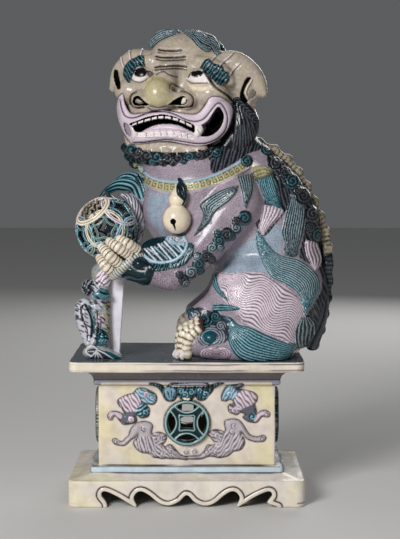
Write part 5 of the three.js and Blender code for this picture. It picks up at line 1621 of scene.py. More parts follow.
# The reliefs on the plinth's front, from the middle of its coin: each bat's glaze and outline, then the
# parts of it as their glaze, the pitch and slope of their ribs (or 0 where they have none) and their
# outline
BATS = (
    ("smoke", [
        (-51.5, 29), (-47.5, 33), (-42, 33), (-36.5, 30.5), (-32, 28), (-30, 25), (-30.5, 20.5),
        (-33.5, 18), (-38, 18.5), (-41, 18), (-37.5, 14), (-37, 10.5), (-38, 6.5), (-41.5, 5), (-45, 5),
        (-48, 7.5), (-50.5, 7), (-49.5, 1.5), (-53, -0.5), (-58, -1.5), (-62, -1.5), (-64.5, 1),
        (-67.5, 4.5), (-70.5, 7), (-72.5, 5), (-73, 3), (-75.5, 2.5), (-77, 5), (-76.5, 8), (-73.5, 10),
        (-68.5, 10), (-64.5, 8.5), (-62, 7), (-60.5, 9), (-62, 12), (-63, 14.5), (-65, 16), (-67, 19.5),
        (-66.5, 22), (-62, 25), (-57, 27), (-53.5, 28),
    ], (
        ("sky", 3, -38, [
            (-51.5, 29), (-47.5, 33), (-42, 33), (-36.5, 30.5), (-32, 28), (-30, 25), (-30.5, 20.5),
            (-33.5, 18), (-38, 18.5), (-42, 19.5), (-46, 25.5),
        ]),
        ("lilac", 3.3, -57, [
            (-66.5, 22), (-62, 25), (-57, 27), (-51.5, 28), (-46, 25.5), (-45, 19.5), (-47.5, 16),
            (-50.5, 11), (-59, 11), (-63, 14.5), (-65, 16),
        ]),
        ("teal", 3.4, 30, [
            (-50.5, 11), (-47.5, 15.5), (-42, 18), (-37.5, 14), (-37, 10.5), (-38, 6.5), (-41.5, 5),
            (-45, 5), (-48, 7.5),
        ]),
        ("lilac", 0, 0, [
            (-77, 5), (-76.5, 8), (-73.5, 10), (-68.5, 10), (-64.5, 8.5), (-63, 6), (-66, 3.5), (-70.5, 7),
            (-72.5, 5), (-73, 3), (-75.5, 2.5),
        ]),
    )),
    ("dove", [
        (-72.5, -18), (-71.5, -16.5), (-68.5, -17), (-66.5, -19), (-63, -19.5), (-60, -16.5),
        (-56.5, -13.5), (-55, -8.5), (-52.5, -4.5), (-49, -1.5), (-44, 0), (-39.5, 0), (-35.5, -1.5),
        (-34, -4.5), (-35, -8.5), (-34.5, -12.5), (-32, -12), (-28.5, -10.5), (-25, -11), (-21, -13),
        (-20.5, -16), (-22, -19.5), (-24.5, -21.5), (-23, -24), (-19.5, -25), (-18.5, -23), (-15.5, -23),
        (-13, -25.5), (-10, -29), (-7, -32.5), (-3.5, -34), (0, -35), (0, -36.5), (-5, -36), (-9.5, -35.5),
        (-13, -35.5), (-16.5, -35.5), (-20.5, -35), (-24.5, -35.5), (-28.5, -34.5), (-32.5, -34),
        (-35.5, -31), (-39.5, -30), (-44, -29.5), (-48, -27), (-51, -23), (-51.5, -19.5), (-49.5, -17.5),
        (-47.5, -14.5), (-47.5, -11), (-49, -12), (-51, -14.5), (-54.5, -16.5), (-58, -20), (-61, -22.5),
        (-65, -22.5), (-69.5, -21.5), (-71.5, -20),
    ], (
        ("dove", 0, 0, [
            (-72.5, -18), (-71.5, -16.5), (-68.5, -17), (-66.5, -19), (-63, -19.5), (-60, -16.5),
            (-56.5, -13.5), (-55, -8.5), (-52.5, -4.5), (-47.5, -2.5), (-47.5, -11), (-51, -14.5),
            (-54.5, -16.5), (-58, -20), (-61, -22.5), (-65, -22.5), (-69.5, -21.5), (-71.5, -20),
        ]),
        ("dove", 3, -75, [
            (-49.5, -17.5), (-45, -14), (-36.5, -13.5), (-32, -16), (-30.5, -23), (-34, -29), (-39.5, -30),
            (-44, -29.5), (-48, -27), (-51, -23), (-51.5, -19.5),
        ]),
        ("dove", 3.2, 20, [
            (-34, -12.5), (-28.5, -10.5), (-25, -11), (-21, -13), (-20.5, -16), (-22, -19.5),
            (-24.5, -21.5), (-30, -22), (-32, -16),
        ]),
        ("dove", 2.8, -50, [
            (-34, -29), (-30.5, -23), (-23, -24), (-19.5, -25), (-18.5, -23), (-15.5, -23), (-13, -25.5),
            (-10, -29), (-13.5, -35.5), (-20.5, -35), (-24.5, -35.5), (-28.5, -34.5), (-32.5, -34),
            (-35.5, -31),
        ]),
    )),
    ("deep", [
        (-35.5, 39.5), (-26, 37.5), (-21.5, 33), (-17, 37), (-12, 39), (18, 40), (21, 31.5), (24, 36.5),
        (28.5, 38.5), (35.5, 39.5), (29, 36.5), (26, 33.5), (24, 30), (21, 27), (17, 22.5), (11.5, 22.5),
        (8, 27.5), (7, 25.5), (2.5, 21.5), (-1.5, 21.5), (-5.5, 23.5), (-9, 28), (-10, 25.5), (-13.5, 21.5),
        (-18.5, 21.5), (-21.5, 24), (-23, 27.5), (-26, 32.5), (-30.5, 36.5), (-35.5, 37.5),
    ], (
    )),
    ("smoke", [
        (34.5, 22), (34.5, 27), (36.5, 31.5), (38.5, 34.5), (43, 36.5), (49, 37.5), (53, 38.5), (55, 37.5),
        (53, 35.5), (50.5, 34), (47.5, 32.5), (53, 32), (60, 30.5), (65, 29), (68.5, 25.5), (68, 21.5),
        (66, 18.5), (66.5, 15.5), (67.5, 11), (68, 7), (70.5, 9), (74, 11), (78, 11), (81, 8.5), (80, 6),
        (77, 6), (73.5, 6.5), (70.5, 3), (68, 0.5), (64, 0.5), (60, 1.5), (55.5, 5), (58, 7), (54.5, 10),
        (51.5, 10), (49, 8), (45.5, 9), (42, 10.5), (41, 13.5), (41, 16), (43, 17.5), (45, 16), (46, 19.5),
        (45.5, 21.5), (42, 23), (38.5, 21.5),
    ], (
        ("sky", 3, 60, [
            (34.5, 22), (34.5, 27), (36.5, 31.5), (38.5, 34.5), (43, 36.5), (47.5, 32.5), (49, 28),
            (45.5, 22), (42, 23), (38.5, 21.5),
        ]),
        ("lilac", 3.6, -53, [
            (45.5, 21.5), (49, 28), (55, 31.5), (65, 29), (68.5, 25.5), (68, 21.5), (66, 18.5), (60, 16),
            (53, 13.5), (49, 16),
        ]),
        ("lilac", 3.4, -30, [
            (41, 16), (43, 17.5), (45, 16), (50.5, 16), (53, 12.5), (51.5, 10), (49, 8), (45.5, 9),
            (42, 10.5), (41, 13.5),
        ]),
        ("lilac", 0, 0, [
            (68, 7), (70.5, 9), (74, 11), (78, 11), (81, 8.5), (80, 6), (77, 6), (73.5, 6.5), (70.5, 3),
            (68, 0.5), (65, 1.5),
        ]),
    )),
    ("dove", [
        (37.5, -2.5), (38, 1), (43, 2.5), (47.5, 2.5), (51.5, 1), (55, -3.5), (58, -8.5), (61, -12.5),
        (65, -14.5), (69.5, -15), (72.5, -14), (76, -14), (77, -16), (74.5, -18.5), (69.5, -19), (64, -18),
        (59, -15.5), (55.5, -11), (53, -9), (52.5, -12.5), (55, -15.5), (56, -19.5), (55, -23.5),
        (51.5, -27), (46, -28), (43.5, -30), (39.5, -33), (35.5, -34), (31.5, -34.5), (27, -33.5),
        (23, -33), (19, -34), (15, -35.5), (9, -36), (0, -35.5), (0, -34.5), (5.5, -34), (12, -33.5),
        (16.5, -30), (19, -26), (21, -23), (24.5, -23.5), (28, -21.5), (26, -17.5), (21.5, -12.5),
        (22, -10), (27, -8), (31.5, -8.5), (35.5, -10), (36.5, -11), (38.5, -8),
    ], (
        ("dove", 0, 0, [
            (51.5, 1), (55, -3.5), (58, -8.5), (61, -12.5), (65, -14.5), (69.5, -15), (72.5, -14),
            (76, -14), (77, -16), (74.5, -18.5), (69.5, -19), (64, -18), (59, -15.5), (55.5, -11),
            (52.5, -6.5),
        ]),
        ("dove", 3, 62, [
            (36.5, -11), (42, -8.5), (53, -12.5), (55, -15.5), (56, -19.5), (55, -23.5), (51.5, -27),
            (46, -28), (39.5, -28), (34, -23), (32.5, -16),
        ]),
        ("dove", 3.2, -20, [
            (22, -10), (27, -8), (31.5, -8.5), (35.5, -10), (34, -14.5), (28, -21.5), (26, -17.5),
            (21.5, -12.5),
        ]),
        ("dove", 2.8, 50, [
            (16.5, -30), (19, -26), (21, -23), (24.5, -23.5), (28, -21.5), (34, -23.5), (42, -29),
            (39.5, -33), (35.5, -34), (31.5, -34.5), (27, -33.5), (23, -33), (19, -34),
        ]),
    )),
)

# Half the apron's lower edge, as shares of half the side's width and heights above the ground
APRON_EDGE = [
    (-0.67, -1), (-0.68, 5), (-0.722, 12), (-0.69, 16.2), (-0.585, 11.4), (-0.48, 4.2), (-0.425, 1),
    (-0.45, 9), (-0.42, 14.8), (-0.375, 16), (-0.315, 12.4), (-0.23, 4.6), (-0.15, 2.2), (-0.07, 5.6),
    (0, 12.4),
]


def apron_space(side):
    half = DIE_HALVES[side % 2] + FOOT_REACH
    left = [(share * half, height - PLINTH_HEIGHT) for share, height in APRON_EDGE]
    return left + [(-u, v) for u, v in left[-2::-1]]


# A coin as it is drawn: its rim, and two bowed bars on each of its four sides.
def coin(sheet, radius):
    sheet.stroke(ring_of(radius + 0.6) + [(radius + 0.6, 0)], 1.4, line=-0.9)
    sheet.patch(ring_of(radius), "jade", line=-1)
    sheet.stroke(ring_of(radius - 1.6) + [(radius - 1.6, 0)], 2.8, "jade", 1.0, 0.75)
    bows = []
    for dip, end, reach in ((0.46, 0.7, 0.5), (0.31, 0.34, 0.3)):
        bow = [(radius * (dip + (end - dip) * a * a), radius * reach * a) for a in np.linspace(-1, 1, 7)]
        bows.append(four_turns(bow))
    for outer, inner in zip(*bows):
        sheet.stroke(outer, 2.2, "jade", 0.9, 0.9)
        sheet.stroke(inner, 2.0, "jade", 0.9, 0.7)


# Where the pale glaze has a yellow cast: in clouds, and towards the ends.
def clouds(u, v, reach):
    cloud = 0.5 * np.sin(u / 17 + 1) * np.sin(v / 11 + 2) + 0.3 * np.sin(u / 7 + v / 9)
    return np.clip(cloud + 0.8 * (abs(u) / reach) ** 4 - 0.1, 0, 0.8)


def front_sheet():
    sheet = Sheet((-84, -43), (84, 42), PLINTH_STEP)
    sheet.kind[:] = KINDS.index("yellow")
    sheet.line[:] = clouds(*sheet.grid(), 84)
    for glaze, outline, parts in BATS:
        sheet.stroke(outline + outline[:1], 3.4, rise=-0.3, line=-1.2)
        sheet.patch(outline, glaze, 2.3, 2, line=0.2)
        for part_glaze, pitch, slope, part in parts:
            if pitch:
                sheet.comb(part, part_glaze, pitch, slope, 0.8, 1.5)
            else:
                sheet.patch(part, part_glaze, 0.7, 1.5, line=0.3)
    bat_marks(sheet)
    coin(sheet, COIN_RADII[0])
    return sheet


# Each curl on the bats as its place, radius, glaze and the way it winds
BAT_CURLS = (
    (-2, 28, 4, "teal", 1), (4, 30, 3.4, "teal", -1), (-6, 31, 3.2, "teal", -1), (18, 28, 4, "teal", 1),
    (12, 32, 3, "teal", 1), (-41, 10, 3.4, "teal", 1), (-34, 25, 3.2, "sky", -1), (-40, 28, 3, "lilac", 1),
    (-55, 3, 3.4, "lilac", 1), (-74, 5, 2.4, "lilac", 1), (46, 12, 3.4, "lilac", 1),
    (41, 28, 3.2, "sky", 1), (64, 6, 3.6, "teal", -1), (78, 8, 2.6, "lilac", -1), (-42, -6, 3.2, "dove", 1),
    (-27, -15, 3.4, "dove", -1), (-69, -19, 2.4, "dove", 1), (46, -3, 3.2, "dove", -1),
    (44, -9, 2.6, "dove", 1), (29, -13, 3.4, "dove", 1), (74, -16, 2.4, "dove", -1),
    (-16, -28, 3, "dove", 1), (-24, -30, 3, "dove", -1), (20, -29, 3, "dove", -1), (28, -29, 3, "dove", 1),
    (0, -29.5, 3, "dove", 1), (8, -29.5, 3, "dove", -1),
)
# How many of them, the first, are on the top bat, where they are lower and wind more
TOP_CURLS = 5


def bat_marks(sheet):
    top = BATS[2][1]
    sheet.comb(top, "deep", 2.8, 80, 0.5, 1.5)
    sheet.patch([(-22, 33), (-17, 35), (-12, 33), (-11, 27), (-14, 22.5), (-18, 22.5), (-21, 27)],
                "sky", 0.5, 1, line=-0.2)
    for path in ([(-19, 31), (-17, 25)], [(-15, 32), (-15, 25)], [(-12, 30), (-13, 25)]):
        sheet.stroke(path, 1.2, "deep", -0.3, -0.6)
    for n, (u, v, radius, glaze, hand) in enumerate(BAT_CURLS):
        rise, turns = (0.6, 1.4) if n < TOP_CURLS else (0.9, 1.2)
        sheet.curl((u, v), radius, glaze, rise, turns, hand)
    sheet.stroke([(-12, -31), (-7, -34), (0, -35.2), (8, -35.2), (14, -33)], 1.8, "dove", 1.2, -0.3)


# The apron: a raised bead along its scalloped edge, with a dark line above the bead.
def apron_sheet(side):
    half = DIE_HALVES[side % 2] + FOOT_REACH
    sheet = Sheet((-half, -PLINTH_HEIGHT - 1), (half, -PLINTH_HEIGHT + 26), 0.4)
    window, depth = sheet.depth(apron_space(side), 8)
    off = np.full(sheet.height.shape, 9.0)
    off[window] = -depth
    sheet.kind[:] = KINDS.index("bone")
    cast = clouds(*sheet.grid(), half)
    sheet.height[:] = 0.9 * np.sqrt(np.clip(1 - ((off - 1.5) / 1.9) ** 2, 0, 1))
    sheet.line[:] = np.where(off < 3.4, 0.3, cast) - 1.4 * np.clip(1.3 - abs(off - 4.1) / 0.9, 0, 1)
    return sheet


# A side of the plinth: the coin's disc and openings, the space under the apron, and what is drawn on them.
def carve_side(clay, side):
    front, radius = DIE_HALVES[1 - side % 2], COIN_RADII[side % 2]
    foot, level = front + FOOT_REACH, COIN_HEIGHT - PLINTH_HEIGHT
    clay.add(through(side, [shifted(ring_of(radius, 48), 0, level)], front - 3, front + 4), 0.6)
    openings = [shifted(outline, 0, level) for outline in coin_openings(radius)]
    clay.cut(through(side, openings, front - 9, front + 9), 0.8)
    clay.cut(through(side, [apron_space(side)], foot - 9, foot + 9), 0.8)
    sheet = front_sheet() if side == 0 else plain_side_sheet(radius)
    wide, low = -sheet.low - 1
    box = side_box(side, wide, front - 2, front + 6, level - low, level + 40)
    clay.emboss(sheet, *box, on_wall(side, level, front - 3, 2))
    wide = DIE_HALVES[side % 2] + 20
    box = side_box(side, wide, foot - 3, foot + 2, -PLINTH_HEIGHT - 1, 22 - PLINTH_HEIGHT)
    clay.emboss(apron_sheet(side), *box, on_wall(side, 0, foot - 3.5, 1.5))


def plain_side_sheet(radius):
    sheet = Sheet((-radius - 4, -radius - 4), (radius + 4, radius + 4), PLINTH_STEP)
    sheet.kind[:] = KINDS.index("yellow")
    coin(sheet, radius)
    return sheet


# The painted bands of the plinth, as the heights they lie between, and the brown lines drawn on it, as
# their heights and half widths
BANDS = (
    ("bone", -1, 29.6), ("ice", 29.6, 35.2), ("yellow", 35.2, 115.2), ("mist", 115.2, 120.4),
    ("grey", 120.4, 130.4), ("blush", 130.4, 142),
)
BROWN_LINES = ((3.9, 0.7), (29.6, 0.8), (35.6, 0.8), (115.2, 0.8), (120.6, 0.7), (132.6, 0.7), (138.4, 0.7))


# The coat of the whole plinth: bands and lines outside, streaks on its dark top, which is in part painted
# shadow, and bare biscuit inside.
def plinth_bands(points, normals):
    x, y, z = points.T
    height = z + PLINTH_HEIGHT
    waver = 0.5 * np.sin(x / 23 + y / 31) + 0.3 * np.sin(x / 9 + y / 13 + 1)
    kind = np.full(len(points), KINDS.index("bone"))
    for glaze, low, high in BANDS:
        kind[(height >= low) & (height < high)] = KINDS.index(glaze)
    line = clouds(x + 0.7 * y, z, DIE_HALVES[0] + FOOT_REACH)
    line[np.isin(kind, [KINDS.index(k) for k in ("ice", "mist", "grey")])] = 0
    for level, wide in BROWN_LINES:
        line -= np.clip(1.25 - abs(height - level - waver * (0.5 if level > 125 else 0.15)) / wide, 0, 1)
    # The slab's top: a grey-green wash, darker in part as painted shadow
    top = (height > 139.5) & (normals[:, 2] > 0.75)
    kind[top] = KINDS.index("wash")
    streak = np.sin(0.9 * y + 2 * np.sin(x / 23 + y / 9)) * np.sin(x / 41 + y / 5)
    streak = streak + 0.4 * np.sin(0.5 * y + x / 13)
    line[top] = (0.35 * streak - 0.05)[top]
    in_die = (plan(x, y, -3.0) < 0) & (height < 130)
    inside = in_die | ((plan(x, y, FOOT_REACH - 4.5) < 0) & (height < 22))
    kind[inside & ~top], line[inside] = KINDS.index("biscuit"), 0
    return np.ones(len(points), bool), kind, line, 0.0


# Foot, slope, step, die, bead, hollow and slab, each as course takes them
COURSES = (
    (0, 25.6, 28, 28, 1.2),
    (24.6, 29.6, 26.5, 7.5, 0.3),
    (28, 35.2, 7.5, 7.5, 1.6),
    (34, 117, 0, 0, 0.3),
    (115.2, 120.4, 5, 5, 2.2),
    (120, 131, 5, 23, 0.3, True),
    (130.5, 141, 27, 27, 1.6),
)


def plinth_clay():
    half = [side + FOOT_REACH + 2 for side in DIE_HALVES]
    clay = Clay([-half[0], -half[1], -PLINTH_HEIGHT - 2], [half[0], half[1], 2], PLINTH_CELL)
    for shape in COURSES:
        clay.add(course(*shape), 0.5)
    for reach, foot, top in ((-WALL, -5, PLINTH_HEIGHT - 11.5), (FOOT_REACH - WALL - 1, -9, 20)):
        half = [side + reach for side in DIE_HALVES]
        room = block([-half[0], -half[1], foot - PLINTH_HEIGHT], [half[0], half[1], top - PLINTH_HEIGHT], 1)
        clay.cut(room, 0.5)
    clay.coats.append(plinth_bands)
    for side in range(4):
        carve_side(clay, side)
    everywhere = Form(clay.low, clay.low + clay.cell * np.array(clay.count), unevenness)
    clay.press(everywhere, 0, lambda value, rise: value - rise)
    return clay


# Hand-pressed walls are never quite flat.
def unevenness(x, y, z):
    return 0.12 * (np.sin(x / 11) * np.sin(y / 13 + 1) + np.sin(z / 7 + x / 17) + np.sin(y / 9 + z / 15))


# The ball

# The ways to the corners of an icosahedron, one of which faces the front.
def ball_axes():
    golden = (1 + math.sqrt(5)) / 2
    axes = []
    for one in (-1, 1):
        for long in (-golden, golden):
            axes += [(0, one, long), (one, long, 0), (long, 0, one)]
    facing = Vector((0, 1, golden)).normalized().rotation_difference(Vector((0, -1, 0)))
    return [np.array((facing @ Vector(axis).normalized())[:]) for axis in axes]


MEDALLION = np.array([-0.55, -0.58, 0.6])
# The middle of the ball's wall
BALL_MIDDLE = BALL_RADIUS - 1.9


# Twelve interlocking rings about a hollow ball, with a flower of five lenses in each and a fret in the one
# that faces up and to the left.
def ball_clay():
    clay = Clay(*near_ball(BALL_RADIUS + 2), BALL_CELL)
    axes = ball_axes()
    chosen = int(np.argmax([axis @ MEDALLION for axis in axes]))
    for n, axis in enumerate(axes):
        clay.add(ball_ring(axis, 37, 2.1), 0.4, ("jade", "cream", "lip", "sky")[n % 4], 0.3)
        if n != chosen:
            for other in axes:
                if 0 < axis @ other < 0.9:
                    clay.add(lens(axis, other), 0.4, "jade" if n % 2 else "teal", 0.3)
    clay.add(ball_ring(axes[chosen], 35.5, 3.2, 0.7), 0.5, "cream", 0.3)
    fret_disc(clay, axes[chosen])
    return clay


# The corners of a box round the ball's middle, or round a place that is so far from it.
def near_ball(reach, off=0.0):
    centre = np.array(BALL_CENTRE) + off
    return centre - reach, centre + reach


# How far a place is from the ball's middle, and which way.
def from_ball(x, y, z):
    p = [a - c for a, c in zip((x, y, z), BALL_CENTRE)]
    away = np.sqrt(p[0] ** 2 + p[1] ** 2 + p[2] ** 2) + 1e-6
    return away, [v / away for v in p]


# How far along an axis a way goes.
def along(way, axis):
    return way[0] * axis[0] + way[1] * axis[1] + way[2] * axis[2]


# A band on the ball, so far off a line drawn on it, with a groove down its middle; its sides and its inner
# face are darkened as painted shade within the openwork.
def ball_band(off_line, wide, proud, low, high):
    def at(x, y, z):
        away, way = from_ball(x, y, z)
        off = off_line(way) * away
        flat = np.maximum(abs(away - BALL_MIDDLE - proud) - 1.6, abs(off) - wide / 2)
        return flat + 0.5 * np.exp(-((off / 0.5) ** 2)) * (away > BALL_MIDDLE)

    def line(x, y, z):
        away, way = from_ball(x, y, z)
        off = off_line(way) * away
        groove = 1.9 * np.exp(-((off / 0.5) ** 2))
        # Painted shade: darker on the band's sides, and darkest on its inner face
        return 0.8 - groove - 1.0 * (abs(off) > wide / 2) - 1.3 * (away < BALL_MIDDLE)

    return Form(low, high, at, line)


# A ring round an axis, at an angle from it in degrees.
def ball_ring(axis, angle, wide, proud=0.0):
    def off_line(way):
        return np.arccos(np.clip(along(way, axis), -1, 1)) - math.radians(angle)

    return ball_band(off_line, wide + 1.2, proud, *near_ball(BALL_RADIUS))


# A lens between a ring's middle and the next ring.
def lens(axis, other):
    side = unit(np.cross(axis, other))
    over = np.cross(side, axis)
    turn = math.radians(20.5)
    middle = axis * math.cos(turn) + over * math.sin(turn)
    outward = over * math.cos(turn) - axis * math.sin(turn)

    def off_line(way):
        length, across = along(way, side) / math.radians(14.5), along(way, outward)
        return np.where(along(way, middle) > 0, abs(abs(across) - math.radians(5.5) * (1 - length**2)), 1)

    return ball_band(off_line, 2.0, -0.2, *near_ball(12, middle * BALL_RADIUS))


# A broken fret that fills a ring: slanting bars with steps between them, and gaps in the bars.
def fret_disc(clay, axis):
    side = unit(np.cross(axis, (0, 0, 1)))
    up = np.cross(side, axis)
    pitch = 7.4

    def off_line(place):
        return abs((place + 100) % 1 - 0.5) * pitch

    def at(x, y, z):
        away, way = from_ball(x, y, z)
        u, v, out = (along(way, a) * away for a in (side, up, axis))
        one, other = (u + v) * 0.7071 / pitch, (v - u) * 0.7071 / pitch
        bar = off_line(one)
        step = off_line(other + 0.5 * (np.floor(one + 100.5) % 2))
        gap = 1.3 - off_line(other + 0.25 + 0.5 * (np.floor(one + 100) % 2))
        key = np.maximum(np.minimum(bar, step) - 0.85, np.where(bar < step, gap, -9))
        disc = np.where(out > 0, np.arccos(np.clip(out / away, -1, 1)) * away - 0.6 * BALL_RADIUS, 9)
        return np.maximum.reduce([key, disc, abs(away - BALL_MIDDLE) - 1.4])

    clay.add(Form(*near_ball(BALL_RADIUS), at), 0.4, "horn", 0.3)


# Skins

# A skin: for each point its glaze, how much that shows as a ridge or a groove, and how strongly it is
# stippled.
class Skin:
    def __init__(self, points, normals, base):
        self.points, self.normals = points, normals
        self.kind = np.full(len(points), KINDS.index(base))
        self.line, self.dots = np.zeros(len(points)), np.full(len(points), float(base == "skin"))

    def put(self, where, kind, line, dots):
        for field, value in ((self.kind, kind), (self.line, line), (self.dots, dots)):
            field[where] = np.broadcast_to(value, where.shape)[where]

    def colours(self):
        palette = linear(list(GLAZES.values()))
        flat, ridge, groove = (palette[self.kind, i] for i in range(3))
        up, down = np.clip(self.line, 0, 1)[:, None], np.clip(-self.line, 0, 1)[:, None]
        return flat + (ridge - flat) * up + (groove - flat) * down

    def layers(self):
        dull, bloom = (np.isin(self.kind, [KINDS.index(k) for k in kinds]).astype(float)
                       for kinds in (["dark"], ["face", "nose", "cub", "horn"]))
        bloom *= 1 - np.clip(-self.line, 0, 1)
        return {"tint": self.colours(), "dots": self.dots, "dull": dull, "bloom": bloom}


# A clay's skin in a base glaze, with the clay's coats laid over it one after another.
def skin_of(clay, base):
    points, quads = clay.skin()
    skin = Skin(points, normals_of(points, quads), base)
    for test in clay.coats:
        skin.put(*test(points, skin.normals))
    return skin, quads


# Meshes and materials

def mesh_piece(name, points, quads, layers):
    mesh = bpy.data.meshes.new(name)
    mesh.vertices.add(len(points))
    mesh.vertices.foreach_set("co", points.astype(np.float32).ravel())
    mesh.loops.add(quads.size)
    mesh.loops.foreach_set("vertex_index", quads.astype(np.int32).ravel())
    mesh.polygons.add(len(quads))
    mesh.polygons.foreach_set("loop_start", np.arange(0, quads.size, 4, dtype=np.int32))
    mesh.update(calc_edges=True)
    for key, values in layers.items():
        if values.ndim == 2:
            colour = np.ones((len(points), 4), np.float32)
            colour[:, :3] = values
            mesh.attributes.new(key, "FLOAT_COLOR", "POINT").data.foreach_set("color", colour.ravel())
        else:
            mesh.attributes.new(key, "FLOAT", "POINT").data.foreach_set("value", values.astype(np.float32))
    piece = bpy.data.objects.new(name, mesh)
    bpy.context.scene.collection.objects.link(piece)
    return piece


THINNING_LEVELS = 10


# Thins a piece to this many triangles, most where keep is lowest, and sets it down in the frame.
def thin_out(piece, most, keep):
    group = piece.vertex_groups.new(name="loose")
    levels = np.round((1 - keep) * THINNING_LEVELS).astype(int)
    for level in range(THINNING_LEVELS + 1):
        group.add(np.nonzero(levels == level)[0].tolist(), level / THINNING_LEVELS, "REPLACE")
    triangles = sum(len(face.vertices) - 2 for face in piece.data.polygons)
    thinner = piece.modifiers.new("thin", "DECIMATE")
    thinner.ratio = min(1, most / triangles)
    thinner.vertex_group = group.name
    thinner.vertex_group_factor = 0.05
    set_down(piece)


# Applies a piece's modifiers and puts it in the frame in metres.
def set_down(piece):
    graph = bpy.context.evaluated_depsgraph_get()
    mesh = bpy.data.meshes.new_from_object(piece.evaluated_get(graph), depsgraph=graph)
    piece.modifiers.clear()
    piece.vertex_groups.clear()
    piece.data = mesh
    mesh.transform(Matrix.Scale(0.001, 4) @ Matrix.Translation(Vector(SHIFT.tolist())))
    mesh.shade_smooth()


def nodes_of(name):
    material = bpy.data.materials.new(name)
    material.use_nodes = True
    return material, material.node_tree.nodes, material.node_tree.links


# The colours of the blooms on bare glazes and of the stipple
ROSE = (0.56, 0.47, 0.46, 1)
OLIVE = (0.42, 0.37, 0.16, 1)
SPECK = (0.035, 0.03, 0.05, 1)


# Glaze on porcelain: the painted tint, clouded a little, with dark stipple where the skin calls for it.
def glazed(name):
    material, nodes, links = nodes_of(name)
    shader = nodes["Principled BSDF"]
    place = nodes.new("ShaderNodeTexCoord").outputs["Object"]
    tint, dots, dull, bloom = (nodes.new("ShaderNodeAttribute") for _ in range(4))
    for attribute, key in ((tint, "tint"), (dots, "dots"), (dull, "dull"), (bloom, "bloom")):
        attribute.attribute_name = key

    def noise(scale, detail):
        made = nodes.new("ShaderNodeTexNoise")
        made.inputs["Scale"].default_value = scale
        made.inputs["Detail"].default_value = detail
        links.new(place, made.inputs["Vector"])
        return made.outputs["Fac"]

    def ranged(value, low, high, start, end):
        made = nodes.new("ShaderNodeMapRange")
        for key, amount in (("From Min", low), ("From Max", high), ("To Min", start), ("To Max", end)):
            made.inputs[key].default_value = amount
        links.new(value, made.inputs["Value"])
        return made.outputs["Result"]

    def combined(a, b, operation="MULTIPLY"):
        made = nodes.new("ShaderNodeMath")
        made.operation = operation
        links.new(a, made.inputs[0])
        links.new(b, made.inputs[1])
        return made.outputs["Value"]

    def mixed(share, first, colour):
        made = nodes.new("ShaderNodeMix")
        made.data_type = "RGBA"
        links.new(share, made.inputs["Factor"])
        links.new(first, made.inputs["A"])
        made.inputs["B"].default_value = colour
        return made.outputs["Result"]

    cells = nodes.new("ShaderNodeTexVoronoi")
    cells.inputs["Scale"].default_value = 1400
    links.new(place, cells.inputs["Vector"])
    speck = combined(ranged(cells.outputs["Distance"], 0.24, 0.5, 1, 0), dots.outputs["Fac"])
    washed = nodes.new("ShaderNodeVectorMath")
    washed.operation = "SCALE"
    links.new(tint.outputs["Color"], washed.inputs[0])
    pools, drifts = ranged(noise(85, 4), 0.4, 0.7, 1.04, 0.86), ranged(noise(40, 3), 0.35, 0.7, 0.93, 1.06)
    links.new(combined(pools, drifts), washed.inputs["Scale"])
    rose_share = combined(ranged(noise(330, 5), 0.46, 0.6, 0, 0.5), bloom.outputs["Fac"])
    rosy = mixed(rose_share, washed.outputs["Vector"], ROSE)
    olive_share = combined(ranged(noise(150, 5), 0.5, 0.66, 0, 0.5), bloom.outputs["Fac"])
    olive = mixed(olive_share, rosy, OLIVE)
    stippled = mixed(combined(speck, ranged(noise(60, 2), 0.3, 0.6, 0.55, 0.9)), olive, SPECK)
    links.new(stippled, shader.inputs["Base Color"])
    links.new(ranged(dull.outputs["Fac"], 0, 1, 0.36, 0.04), shader.inputs["Specular IOR Level"])
    gloss = ranged(noise(140, 3), 0.3, 0.7, 0.14, 0.3)
    rough = combined(gloss, ranged(dull.outputs["Fac"], 0, 1, 0, 0.5), "ADD")
    links.new(rough, shader.inputs["Roughness"])
    bump = nodes.new("ShaderNodeBump")
    bump.inputs["Strength"].default_value = 0.15
    bump.inputs["Distance"].default_value = 0.0006
    links.new(noise(320, 3), bump.inputs["Height"])
    links.new(bump.outputs["Normal"], shader.inputs["Normal"])
    return material


def dress(piece, material, node, slot):
    piece.data.materials.clear()
    piece.data.materials.append(material)
    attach(piece, "root")
    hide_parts(node)


# Each piece as its clay, its base glaze, the most triangles it takes, and the node and slot of the frame it
# is for
PIECES = (
    ("lion_body", body_clay, "skin", 198000, "lion", "lion_glaze"),
    ("lion_front", front_clay, "cream", 130000, "lion", "lion_glaze"),
    ("lion_head", head_clay, "face", 195000, "lion", "lion_glaze"),
    ("lion_cub", cub_clay, "cub", 90000, "lion", "lion_glaze"),
    ("plinth_ware", plinth_clay, "bone", 190000, "plinth", "plinth_glaze"),
    ("ball_ware", ball_clay, "cream", 160000, "openwork_ball", "ball_glaze"),
)
# A change of colour from place to place that is kept as well as any
CLEAR_CHANGE = 0.06
# Behind this depth a piece is thinned twice as much
BACK_DEPTH = 12
# How far inside the solids' box every piece stays
INSET = 0.1


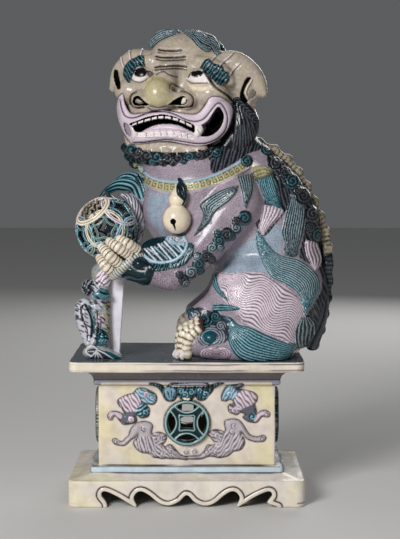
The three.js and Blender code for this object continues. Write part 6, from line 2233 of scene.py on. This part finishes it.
def figure():
    cad_low, cad_high = (np.array(corner) * 1000 - SHIFT for corner in cad_box)
    glazes = {slot: glazed(slot) for slot in ("lion_glaze", "plinth_glaze", "ball_glaze")}
    for name, make_clay, base, most, node, slot in PIECES:
        skin, quads = skin_of(make_clay(), base)
        skin.points = np.clip(skin.points, cad_low + INSET, cad_high - INSET)
        layers = skin.layers()
        piece = mesh_piece(name, skin.points, quads, layers)
        change = np.linalg.norm(layers["tint"] - smoothed(layers["tint"], quads), axis=1)
        keep = 0.2 + 0.65 * np.clip(smoothed(change, quads) / CLEAR_CHANGE, 0, 1)
        thin_out(piece, most, np.where(skin.points[:, 1] > BACK_DEPTH, keep / 2, keep))
        dress(piece, glazes[slot], node, slot)


# Stage, light and camera

def stage():
    mesh = bpy.data.meshes.new("floor")
    reach = 6
    corners = [(-reach, -reach, 0), (reach, -reach, 0), (reach, reach, 0), (-reach, reach, 0)]
    mesh.from_pydata(corners, [], [(0, 1, 2, 3)])
    floor = bpy.data.objects.new("floor", mesh)
    bpy.context.scene.collection.objects.link(floor)
    material, nodes, _ = nodes_of("pale_floor")
    nodes["Principled BSDF"].inputs["Base Color"].default_value = (0.72, 0.71, 0.69, 1)
    nodes["Principled BSDF"].inputs["Roughness"].default_value = 0.8
    mesh.materials.append(material)


def lamp(name, place, aim, size, watts):
    light = bpy.data.lights.new(name, "AREA")
    light.size, light.energy = size, watts
    made = bpy.data.objects.new(name, light)
    made.location = place
    made.rotation_euler = (Vector(aim) - Vector(place)).to_track_quat("-Z", "Y").to_euler()
    bpy.context.scene.collection.objects.link(made)


def lights():
    middle = (0, 0, 0.25)
    lamp("key", (-0.8, -1.5, 0.95), middle, 0.6, 28)
    lamp("fill", (1.4, -1.0, 0.7), middle, 1.0, 1.5)
    lamp("back", (0.5, 1.7, 1.0), middle, 1.0, 9)
    bpy.context.scene.view_settings.view_transform = "Standard"
    world = bpy.data.worlds.new("studio")
    world.use_nodes = True
    background = world.node_tree.nodes["Background"]
    background.inputs["Color"].default_value = (0.9, 0.92, 0.95, 1)
    background.inputs["Strength"].default_value = 0.12
    bpy.context.scene.world = world


def camera():
    lens = bpy.data.cameras.new("camera")
    lens.sensor_fit = "HORIZONTAL"
    lens.sensor_width = 36
    lens.lens = FOCAL_PIXELS / PHOTO_WIDTH * lens.sensor_width
    made = bpy.data.objects.new("camera", lens)
    made.location = ((np.array(EYE) + SHIFT) / 1000).tolist()
    made.rotation_euler = (math.radians(90 - EYE_TILT), 0, 0)
    bpy.context.scene.collection.objects.link(made)
    bpy.context.scene.camera = made


camera()
stage()
lights()
figure()
